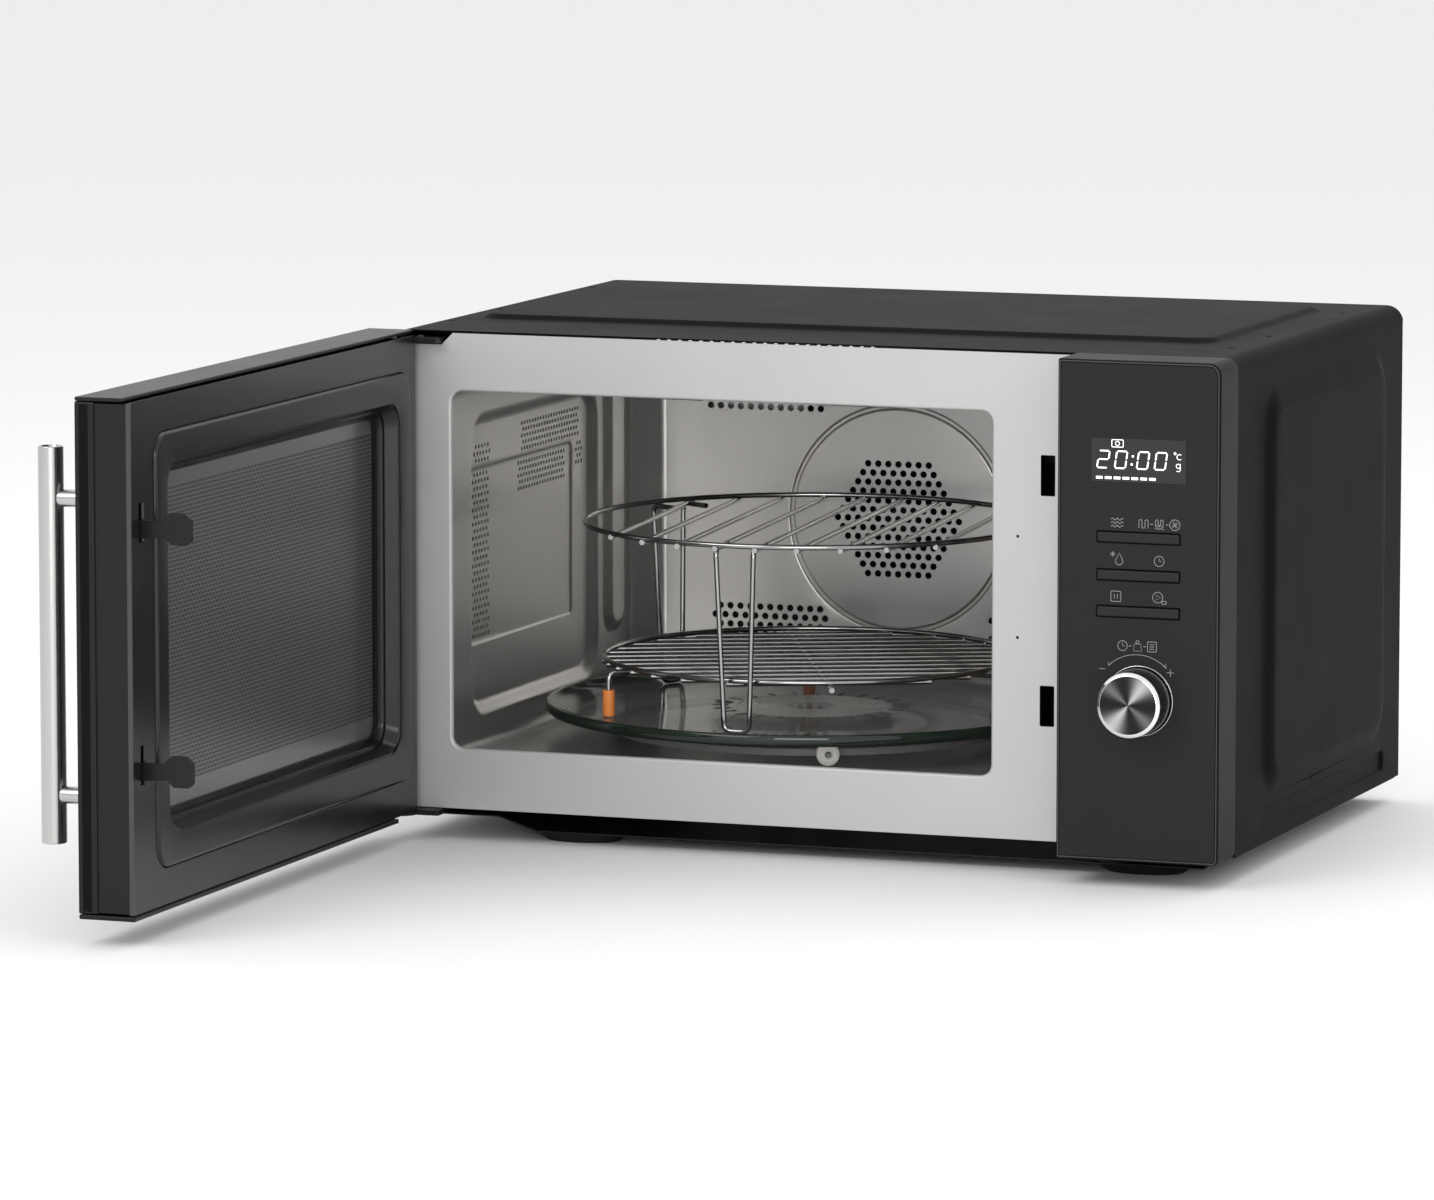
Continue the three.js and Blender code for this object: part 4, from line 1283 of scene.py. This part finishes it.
class OVEN_OT_door_inner(Operator):
    """Inner door panel with its raised band, window well and screen"""

    bl_idname = "oven.door_inner"
    bl_label = "Door Inner Panel"
    bl_options = {"REGISTER", "UNDO"}

    def execute(self, context):
        bm = bmesh.new()

        def face(a, b, d):
            return (a, d, b)

        well = [
            (rounded(26.0, 40.6, 359.2, 246.4, 15.4), 9.0),
            (rounded(26.8, 41.4, 358.4, 245.6, 14.8), 8.7),
            (rounded(27.3, 41.9, 357.9, 245.1, 14.3), 7.9),
            (rounded(30.0, 44.6, 355.2, 242.4, 13.2), 1.4),
            (rounded(30.6, 45.2, 354.6, 241.8, 12.8), 0.9),
            (rounded(32.2, 46.8, 353.0, 240.2, 12.0), 0.7),
            (rounded(32.6, 47.2, 352.6, 239.8, 11.6), 0.2),
            (rounded(33.0, 47.6, 352.2, 239.4, 11.4), -2.6),
            (rounded(36.0, 50.6, 349.2, 236.4, 9.0), -3.3)
        ]
        band = (
            [
                (rounded(8.7, 21.9, 374.5, 263.1, 14.4), 7.6),
                (rounded(9.1, 22.3, 374.1, 262.7, 14.0), 7.58),
                (rounded(9.5, 22.7, 373.7, 262.3, 13.6), 6.8),
                (rounded(10.1, 23.3, 373.1, 261.7, 13.0), 6.84),
                (rounded(10.7, 23.9, 372.5, 261.1, 12.5), 8.7),
                (rounded(11.3, 24.5, 371.9, 260.5, 12.1), 8.98),
                (rounded(12.2, 25.4, 371.0, 259.6, 11.6), 9.0)
            ],
            [(well, None)]
        )
        hook_slots = [
            (
                [
                    (rounded(387.0, z + 0.3, 394.8, z + 22.6, 0.8, 3), 7.6),
                    (rounded(387.4, z + 0.6, 394.4, z + 22.3, 0.8, 3), 6.6)
                ],
                None
            )
            for z in (72.0, 204.0)
        ]
        pressed_sheet(
            bm, face, rounded(-1.0, 2.8, 405.2, 281.4, 2.0, 3), [band, *hook_slots], 7.6
        )
        make_piece(
            bm, "door_inner_cover", "enamel_black", "door", ("door_inner_panel",),
            space=DOOR, wall=1.0, smooth=50
        )
        bm = bmesh.new()
        pressed_sheet(
            bm, face, rounded(27.0, 41.6, 358.2, 245.4, 6.0),
            [
                (
                    [
                        (rounded(44.0, 63.0, 341.0, 228.0, 3.0), -4.8),
                        (rounded(44.6, 63.6, 340.4, 227.4, 3.0), -5.0)
                    ],
                    ()
                )
            ],
            -4.8
        )
        make_piece(
            bm, "door_window_screen", "screen", "door", ("door_screen",),
            space=DOOR, wall=0.6, smooth=50
        )
        return {"FINISHED"}


class OVEN_OT_door_edge(Operator):
    """Light grey flange along the door's free edge, and a near-black strip painted as the shade
    of a groove
    """

    bl_idname = "oven.door_edge"
    bl_label = "Door Edge Trim"
    bl_options = {"REGISTER", "UNDO"}

    def execute(self, context):
        def end_face(a, b, d):
            return (d, a, b)

        # The groove is not cut: a near-black strip on the edge is its painted shade.
        for name, key, v0, v1, low, high, near, far in (
            ("door_edge_flange", "edge_steel_and_highlight", 5.9, 8.5, 3.0, 281.2, 404.6, 405.9),
            ("door_edge_groove_shade", "painted_shade_black", -21.6, -16.2, 4.0, 280.2, 405.4, 406.3)
        ):
            bm = bmesh.new()
            bar(bm, rounded(v0, low, v1, high, 0.4, 3), end_face, near, far, 0.15)
            make_piece(bm, name, key, "door", space=DOOR)
        return {"FINISHED"}


class OVEN_OT_latch(Operator):
    """Latch hooks, their slide and spring"""

    bl_idname = "oven.latch"
    bl_label = "Latch"
    bl_options = {"REGISTER", "UNDO"}

    def execute(self, context):
        softened(
            "latch_hooks", "latch_slide_hooks", "moulded_black", "latch", 0.35
        )
        softened("latch_spring", "latch_return_spring", "galvanised", "door", 0.1)
        return {"FINISHED"}


class OVEN_OT_handle(Operator):
    """Round handle bar on two posts"""

    bl_idname = "oven.handle"
    bl_label = "Handle"
    bl_options = {"REGISTER", "UNDO"}

    def execute(self, context):
        low, high, r = 37.7, 255.0, 7.0
        profile = [
            (0, low), (r - 0.9, low), (r - 0.3, low + 0.25), (r, low + 0.9), (r, high - 0.9),
            (r - 0.3, high - 0.25), (r - 0.9, high), (r - 1.7, high - 0.1), (r - 2.1, high - 1.2),
            (0, high - 1.4)
        ]
        make_piece(
            turned(profile, (389, -46, 0), steps=56), "handle_tube", "handle_chrome", "door",
            ("handle_bar",), space=DOOR
        )
        for name, z in (("lower", 64.5), ("upper", 226.7)):
            post = [
                (0, 0), (6.4, 0), (6.6, 0.3), (6.6, 1.4), (6.2, 1.9), (5.0, 2.2), (4.8, 2.8),
                (4.8, 16.6), (0, 16.6)
            ]
            make_piece(
                turned(post, (389, -24.1, z), "Y", steps=40), f"handle_stem_{name}",
                "handle_chrome", "door", (f"handle_post_{name}",), space=DOOR
            )
        return {"FINISHED"}


class OVEN_OT_hinges(Operator):
    """Hinge brackets at the top and bottom of the door"""

    bl_idname = "oven.hinges"
    bl_label = "Hinges"
    bl_options = {"REGISTER", "UNDO"}

    def execute(self, context):
        for place in ("top", "bottom"):
            softened(
                f"hinge_bracket_{place}", f"hinge_plate_{place}", "moulded_black", "cabinet",
                0.3
            )
        screws(
            [(20, -6.4, 280.0)], (0, 0, 1), "hinge_screws", "moulded_black", "cabinet",
            radius=2.2
        )
        return {"FINISHED"}


# ---------------------------------------------------------------- controls

PANEL_FACE = -33.9


def front_place(a, b, d):
    """A point on the control panel: across, up and depth in front of it."""
    return (a, PANEL_FACE - d, b)


class OVEN_OT_control_panel(Operator):
    """Control housing, its face plate and the display window"""

    bl_idname = "oven.control_panel"
    bl_label = "Control Panel"
    bl_options = {"REGISTER", "UNDO"}

    def execute(self, context):
        bm = bmesh.new()
        left, right, low, high = 417.3, 513.0, 0.0, 284.0

        def shape(k):
            return rounded(
                left + k, low + k, right - k, high - k,
                (max(0.4, 1.2 - k), max(0.6, 3.5 - k), max(0.8, 7.0 - k), max(0.4, 1.2 - k))
            )

        rings = [
            (shape(0.0), -33.6), (shape(0.0), -1.4), (shape(0.25), -0.5), (shape(0.9), 0.1),
            (shape(1.5), 0.0), (shape(1.8), -0.3), (shape(1.85), -2.0)
        ]
        fill_floor(bm, front_place, ring(bm, front_place, *rings[0]), (), -33.6)
        loops = [ring(bm, front_place, p, d) for p, d in rings]
        for near, far in zip(loops, loops[1:]):
            bmesh.ops.bridge_loops(bm, edges=near + far)
        fill_floor(bm, front_place, loops[-1], (), -2.0)
        make_piece(
            bm, "control_shell", "rim_black", "cabinet", ("control_housing",),
            smooth=35
        )
        bm = bmesh.new()
        # Painted highlight: a lighter ring round the face plate's rim, standing in for light
        # caught by its eased edge.
        bead = [
            ring(bm, front_place, shape(k), d) for k,
            d in ((0.9, 0.06), (1.1, 0.34), (1.5, 0.3), (1.75, -0.2))
        ]
        for near, far in zip(bead, bead[1:] + bead[:1]):
            bmesh.ops.bridge_loops(bm, edges=near + far)
        make_piece(bm, "control_highlight_bead", "edge_steel_and_highlight", "cabinet", smooth=35)
        bm = bmesh.new()
        cuts = [
            (
                [
                    (rounded(436.6, 214.8, 493.4, 240.6, 0.8, 3), 0.0),
                    (rounded(437.0, 215.2, 493.0, 240.2, 0.6, 3), -0.3)
                ],
                None
            )
        ]
        for z in KEY_HEIGHTS:
            cuts.append(
                (
                    [
                        (rounded(440.5, z - 3.6, 490.1, z + 3.6, 0.8, 3), 0.0),
                        (rounded(440.7, z - 3.4, 489.9, z + 3.4, 0.8, 3), -0.3)
                    ],
                    None
                )
            )
        cuts.append(([(circle(*KNOB, 15.0, 48), 0.0)], None))
        pressed_sheet(bm, front_place, shape(2.1), cuts)
        make_piece(
            bm, "control_face_plate", "panel_black", "cabinet", ("control_face",),
            wall=0.8, wall_side=-1.0, smooth=35
        )
        bm = bmesh.new()
        bar(bm, rounded(437.1, 215.3, 492.9, 240.1, 0.5, 3), front_place, -2.6, -0.25, 0.15)
        make_piece(
            bm, "display_lens", "window_black", "cabinet", ("display_window",)
        )
        collar = [
            (15.2, -1.0), (20.2, -1.0), (20.2, 0.5), (20.0, 0.8), (19.7, 0.9), (19.3, 0.7),
            (18.6, 0.4), (15.2, 0.2)
        ]
        make_piece(
            turned(closed_ring(collar), (KNOB[0], PANEL_FACE, KNOB[1]), "Y", steps=96),
            "knob_collar", "handle_chrome", "cabinet", ("knob_bezel",)
        )
        return {"FINISHED"}


class OVEN_OT_keys(Operator):
    """Three rocking key bars"""

    bl_idname = "oven.keys"
    bl_label = "Keys"
    bl_options = {"REGISTER", "UNDO"}

    def execute(self, context):
        for i, z in enumerate(KEY_HEIGHTS):
            bm = bmesh.new()
            bar(
                bm, rounded(441.2, z - 2.8, 489.4, z + 2.8, 0.9, 4), front_place, -5.0, 1.3, 1.2,
                4
            )
            make_piece(
                bm, f"key_cap_{i + 1}", "key_black", f"key_{i + 1}",
                (f"key_bar_{i + 1}",), smooth=35
            )
        return {"FINISHED"}


class OVEN_OT_knob(Operator):
    """Selector knob with a turned face and a bright chamfer"""

    bl_idname = "oven.knob"
    bl_label = "Selector Knob"
    bl_options = {"REGISTER", "UNDO"}

    def execute(self, context):
        s = context.scene.oven_settings
        back, front, r = 1.8, 21.4, 18.8
        centre = (KNOB[0], PANEL_FACE, KNOB[1])
        make_piece(
            turned(
                [
                    (0, back), (r - 0.6, back), (r, back + 0.5), (r, back + 2.0),
                    (r - 0.35, back + 2.3), (r - 0.35, front - 1.5)
                ],
                centre, "Y", steps=96
            ),
            "knob_body", "knob_side", "selector_knob", ("knob",)
        )
        make_piece(
            turned(
                [
                    (r - 0.35, front - 1.5), (r - 0.3, front - 1.3), (r - 1.3, front - 0.25),
                    (r - 2.3, front)
                ],
                centre, "Y", steps=96
            ),
            "knob_chamfer", "bright_ring", "selector_knob"
        )
        face = [(r - 2.3, front), (r - 2.6, front - 0.25)]
        count = s.knob_grooves
        width = (r - 2.9) / count
        for i in range(count):
            outer = r - 2.6 - i * width
            face.append((outer - width * 0.5, front - 0.25 - 0.055 * width / 0.4))
            face.append((max(0.0, outer - width), front - 0.25))
        face.append((0, front - 0.25))
        make_piece(
            turned(face, centre, "Y", steps=96), "knob_turned_face", "knob_face", "selector_knob",
            smooth=80, weighted=False
        )
        return {"FINISHED"}


# Which of the seven bars each figure lights: top, upper left, upper right,
# middle, lower left, lower right, foot.
SEGMENTS = {"2": (0, 2, 3, 4, 6), "0": (0, 1, 2, 4, 5, 6)}


def segment_bar(bm, start, end, width, depth):
    """One lit bar with pointed ends."""
    a, b = Vector(start), Vector(end)
    along = (b - a).normalized()
    side = Vector((-along.y, along.x)) * width / 2
    tip = along * width / 2
    outline = [a, a + tip + side, b - tip + side, b, b - tip - side, a + tip - side]
    bar(bm, [tuple(p) for p in outline], front_place, depth, depth + 0.12)


class OVEN_OT_display(Operator):
    """Lit clock figures and small marks of the display"""

    bl_idname = "oven.display"
    bl_label = "Display Figures"
    bl_options = {"REGISTER", "UNDO"}

    def execute(self, context):
        bm = bmesh.new()
        low, high = 223.2, 232.8
        middle = (low + high) / 2
        depth = -0.14
        lean = 0.14

        def slanted(x, z):
            return (x + (z - low) * lean, z)

        for figure, x in (("2", 440.6), ("0", 451.0), ("0", 463.9), ("0", 474.3)):
            w, g = 6.2, 0.25
            bars = [
                ((x + g, high), (x + w - g, high)), ((x, high - g), (x, middle + g)),
                ((x + w, high - g), (x + w, middle + g)), ((x + g, middle), (x + w - g, middle)),
                ((x, middle - g), (x, low + g)), ((x + w, middle - g), (x + w, low + g)),
                ((x + g, low), (x + w - g, low))
            ]
            for k in SEGMENTS[figure]:
                segment_bar(bm, slanted(*bars[k][0]), slanted(*bars[k][1]), 0.85, depth)
        for z in (225.6, 230.2):
            x = slanted(460.7, z)[0]
            bar(
                bm, rounded(x - 0.6, z - 0.6, x + 0.6, z + 0.6, 0.2, 2), front_place, depth,
                depth + 0.12
            )
        for i in range(7):
            x = 440.1 + i * 5.2
            bar(bm, rounded(x, 216.9, x + 3.9, 218.4, 0.2, 2), front_place, depth, depth + 0.12)
        make_piece(bm, "display_figures", "digits", "cabinet", weighted=False)
        lines = [
            flat_line(rounded(449.3, 235.1, 456.0, 239.2, 0.5, 2), True, -0.08),
            flat_line(circle(452.6, 237.1, 1.2, 12), True, -0.08),
            flat_line(circle(486.4, 232.6, 0.6, 10), True, -0.08),
            flat_line(arc(489.0, 230.7, 1.5, 50, 310), False, -0.08),
            flat_line(circle(488.3, 225.6, 1.2, 12), True, -0.08),
            flat_line(
                [(489.5, 226.9), (489.5, 223.4), (488.9, 222.6), (487.3, 222.7)], False, -0.08
            )
        ]
        make_piece(
            printed(lines, 0.22), "display_marks", "digits", "cabinet",
            weighted=False
        )
        return {"FINISHED"}


def arc(cx, cz, radius, start, end, count=16):
    """Points along an arc, in degrees."""
    return [
        (
            cx + radius * math.cos(math.radians(start + (end - start) * i / count)),
            cz + radius * math.sin(math.radians(start + (end - start) * i / count))
        )
        for i in range(count + 1)
    ]


def flat_line(points, closed=False, depth=0.03):
    """A line drawn on the control face."""
    return [front_place(a, b, depth) for a, b in points], closed


def printed(lines, width):
    """Lines as thin raised print."""
    return curve_mesh(lines, width, 0)


def wave(x0, x1, z, height, turns, count=24):
    """A wavy line."""
    return [
        (x0 + (x1 - x0) * i / count, z + height * math.sin(TAU * turns * i / count))
        for i in range(count + 1)
    ]


def coil(x0, x1, low, high, turns=3):
    """A heating-coil symbol: a square wave with round ends."""
    points, step = [], (x1 - x0) / (2 * turns - 1)
    for i in range(2 * turns - 1 + 1):
        x = x0 + i * step
        up = i % 2 == 0
        points += [(x, low if up else high), (x, high if up else low)]
    path = bent([Vector((a, b, 0)) for a, b in points], step * 0.5, 3)
    return [(p.x, p.y) for p in path]


def clock_face(x, z, r):
    """A clock symbol."""
    return [
        flat_line(circle(x, z, r, 24), True),
        flat_line([(x, z + r * 0.62), (x, z), (x + r * 0.5, z)])
    ]


class OVEN_OT_symbols(Operator):
    """Printed symbols beside the keys and the knob"""

    bl_idname = "oven.symbols"
    bl_label = "Printed Symbols"
    bl_options = {"REGISTER", "UNDO"}

    def execute(self, context):
        lines = []
        for k in (-2.0, 0.0, 2.0):
            lines.append(flat_line(wave(449.2, 456.4, 192.4 + k, 0.55, 2.5)))
        lines.append(flat_line(coil(465.5, 470.9, 190.0, 194.6, 2)))
        lines.append(flat_line(coil(475.3, 479.7, 191.9, 194.9, 2)))
        for k in (0.0, 1.4):
            lines.append(flat_line(wave(475.0, 480.0, 189.9 + k, 0.4, 2.0)))
        lines.append(flat_line(circle(486.6, 192.3, 3.0, 28), True))
        for k in range(4):
            a = math.radians(90 * k + 20)
            tip = (486.6 + 2.1 * math.cos(a), 192.3 + 2.1 * math.sin(a))
            side = (486.6 + 1.5 * math.cos(a + 0.7), 192.3 + 1.5 * math.sin(a + 0.7))
            lines.append(flat_line([(486.6, 192.3), tip, side, (486.6, 192.3)]))
        for x in (472.0, 481.3):
            lines.append(flat_line([(x, 192.3), (x + 1.8, 192.3)]))
        # Defrost: a flake and a drop.
        for k in range(3):
            a = math.radians(60 * k + 30)
            dx, dz = 1.5 * math.cos(a), 1.5 * math.sin(a)
            lines.append(flat_line([(450.2 - dx, 174.6 - dz), (450.2 + dx, 174.6 + dz)]))
        drop = arc(454.0, 170.7, 2.1, 150, 390, 16)
        lines.append(flat_line([*drop, (454.2, 175.3)], True))
        lines += clock_face(477.5, 171.5, 2.9)
        # Stop or pause, and start.
        lines.append(flat_line(rounded(449.3, 147.8, 455.1, 153.6, 0.6, 3), True))
        for x in (451.3, 453.1):
            lines.append(flat_line([(x, 149.4), (x, 152.0)]))
        lines.append(flat_line(circle(476.8, 151.0, 3.0, 26), True))
        lines.append(flat_line([(475.9, 149.5), (475.9, 152.5), (478.5, 151.0)], True))
        lines.append(flat_line(rounded(479.2, 147.4, 481.8, 149.0, 0.3, 2), True))
        # Time, weight and list, above the knob.
        lines += clock_face(456.3, 122.9, 2.8)
        lines.append(
            flat_line([(462.7, 120.2), (467.5, 120.2), (467.0, 124.2), (463.2, 124.2)], True)
        )
        lines.append(flat_line(circle(465.1, 125.2, 0.9, 12), True))
        lines.append(flat_line(rounded(471.0, 120.1, 476.2, 125.7, 0.3, 2), True))
        for z in (121.6, 122.9, 124.2):
            lines.append(flat_line([(472.3, z), (474.9, z)]))
        for x in (460.0, 468.6):
            lines.append(flat_line([(x, 122.9), (x + 1.6, 122.9)]))
        lines.append(flat_line(arc(465.0, 93.5, 24.6, 46, 134, 28)))
        for x, way in ((448.0, -1), (482.0, 1)):
            lines.append(flat_line([(x - way * 2.0, 112.6), (x, 111.0), (x - way * 0.2, 113.6)]))
        lines.append(flat_line([(442.7, 109.3), (446.3, 109.3)]))
        lines.append(flat_line([(482.4, 108.7), (486.6, 108.7)]))
        lines.append(flat_line([(484.5, 106.6), (484.5, 110.8)]))
        make_piece(
            printed(lines, 0.2), "control_symbols", "symbol_grey", "cabinet",
            weighted=False
        )
        return {"FINISHED"}


# ---------------------------------------------------------------- inner works


class OVEN_OT_inner_works(Operator):
    """Finishes for the parts that stay hidden inside the cabinet"""

    bl_idname = "oven.inner_works"
    bl_label = "Inner Works"
    bl_options = {"REGISTER", "UNDO"}

    FINISHES = {
        "fan_housing": "dark_steel_and_shade", "ring_heater": "dark_steel_and_shade", "convection_motor": "galvanised",
        "waveguide": "galvanised", "magnetron": "galvanised", "transformer": "copper",
        "capacitor": "galvanised", "cooling_fan_motor": "moulded_black",
        "oven_lamp": "white_plastic", "turntable_motor": "galvanised",
        "interlock_switches": "moulded_black", "control_board": "board",
        "convection_impeller": "dark_steel_and_shade", "cooling_impeller": "moulded_black"
    }

    def execute(self, context):
        for node, key in self.FINISHES.items():
            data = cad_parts[node].data
            data.materials.clear()
            data.materials.append(finish(key))
        return {"FINISHED"}


# ---------------------------------------------------------------- stage


class OVEN_OT_stage(Operator):
    """Pale floor, soft studio light and the camera"""

    bl_idname = "oven.stage"
    bl_label = "Studio Stage"
    bl_options = {"REGISTER", "UNDO"}

    def execute(self, context):
        s = context.scene.oven_settings
        scene = bpy.context.scene
        bm = bmesh.new()
        floor_half = 9.0
        bmesh.ops.create_grid(bm, x_segments=1, y_segments=1, size=floor_half)
        mesh = bpy.data.meshes.new("studio_floor")
        bm.to_mesh(mesh)
        bm.free()
        f = Finish("Studio floor")
        f.shade(Base_Color=tuple(s.floor_colour), Roughness=0.7 + (f.noise(6.0) - 0.5) * 0.05)
        mesh.materials.append(f.material)
        floor = bpy.data.objects.new("studio_floor", mesh)
        scene.collection.objects.link(floor)

        world = bpy.data.worlds.new("Studio")
        world.use_nodes = True
        sky = world.node_tree.nodes["Background"]
        sky.inputs["Color"].default_value = (1.0, 1.0, 1.0, 1.0)
        sky.inputs["Strength"].default_value = 0.95
        scene.world = world

        scene.view_settings.view_transform = "Standard"
        for name, place, aim, size, power in (
            ("key", (-1.4, -2.8, 2.4), (0, 0.0, 0.15), (2.0, 1.4), 34),
            ("top", (0.4, 0.9, 2.4), (0, 0.1, 0.1), (2.2, 1.6), 14),
            ("side", (2.9, -0.3, 1.6), (0.2, 0.1, 0.15), (0.9, 1.6), 8),
            ("fill", (0.9, -3.2, 0.7), (-0.03, 0.2, 0.12), (1.4, 1.0), 24)
        ):
            lamp = bpy.data.lights.new(name, "AREA")
            lamp.shape, lamp.size, lamp.size_y, lamp.energy = "RECTANGLE", *size, power
            holder = bpy.data.objects.new(name, lamp)
            holder.location = place
            holder.rotation_euler = (
                (Vector(aim) - Vector(place)).to_track_quat("-Z", "Y").to_euler()
            )
            scene.collection.objects.link(holder)

        lens = bpy.data.cameras.new("camera")
        focal_length, tilt, swing = 215.79, 0.12662, 0.35147
        lens.lens, lens.sensor_width = focal_length, 36.0
        lens.clip_start, lens.clip_end = 0.1, 100.0
        camera = bpy.data.objects.new("camera", lens)
        camera.location = (1.6574, -4.58575, 0.7737)
        camera.rotation_euler = (math.pi / 2 - tilt, 0.0, swing)
        scene.collection.objects.link(camera)
        scene.camera = camera
        return {"FINISHED"}


OPERATORS = (
    OVEN_OT_cover, OVEN_OT_base, OVEN_OT_rear, OVEN_OT_front_plate, OVEN_OT_cavity,
    OVEN_OT_cavity_fittings, OVEN_OT_tray, OVEN_OT_racks, OVEN_OT_door_shell, OVEN_OT_door_inner,
    OVEN_OT_door_edge, OVEN_OT_latch, OVEN_OT_handle, OVEN_OT_hinges, OVEN_OT_control_panel,
    OVEN_OT_keys, OVEN_OT_knob, OVEN_OT_display, OVEN_OT_symbols, OVEN_OT_inner_works,
    OVEN_OT_stage
)


class OVEN_PT_panel(Panel):
    """Sizes, colours and pieces of the oven"""

    bl_idname = "OVEN_PT_panel"
    bl_label = "Combination Oven"
    bl_space_type = "VIEW_3D"
    bl_region_type = "UI"
    bl_category = "Oven"

    def draw(self, context):
        settings = context.scene.oven_settings
        column = self.layout.column()
        for key in OVEN_PG_settings.__annotations__:
            column.prop(settings, key)
        for operator in OPERATORS:
            column.operator(operator.bl_idname)


CLASSES = (OVEN_PG_settings, *OPERATORS, OVEN_PT_panel)


def register():
    """Registers the add-on's classes and settings."""
    for cls in CLASSES:
        bpy.utils.register_class(cls)
    bpy.types.Scene.oven_settings = PointerProperty(type=OVEN_PG_settings)


def unregister():
    """Takes the add-on's classes and settings away."""
    del bpy.types.Scene.oven_settings
    for cls in reversed(CLASSES):
        bpy.utils.unregister_class(cls)


def main():
    """Builds every piece in order."""
    register()
    for operator in OPERATORS:
        group, name = operator.bl_idname.split(".")
        getattr(getattr(bpy.ops, group), name)()


if __name__ == "__main__":
    main()
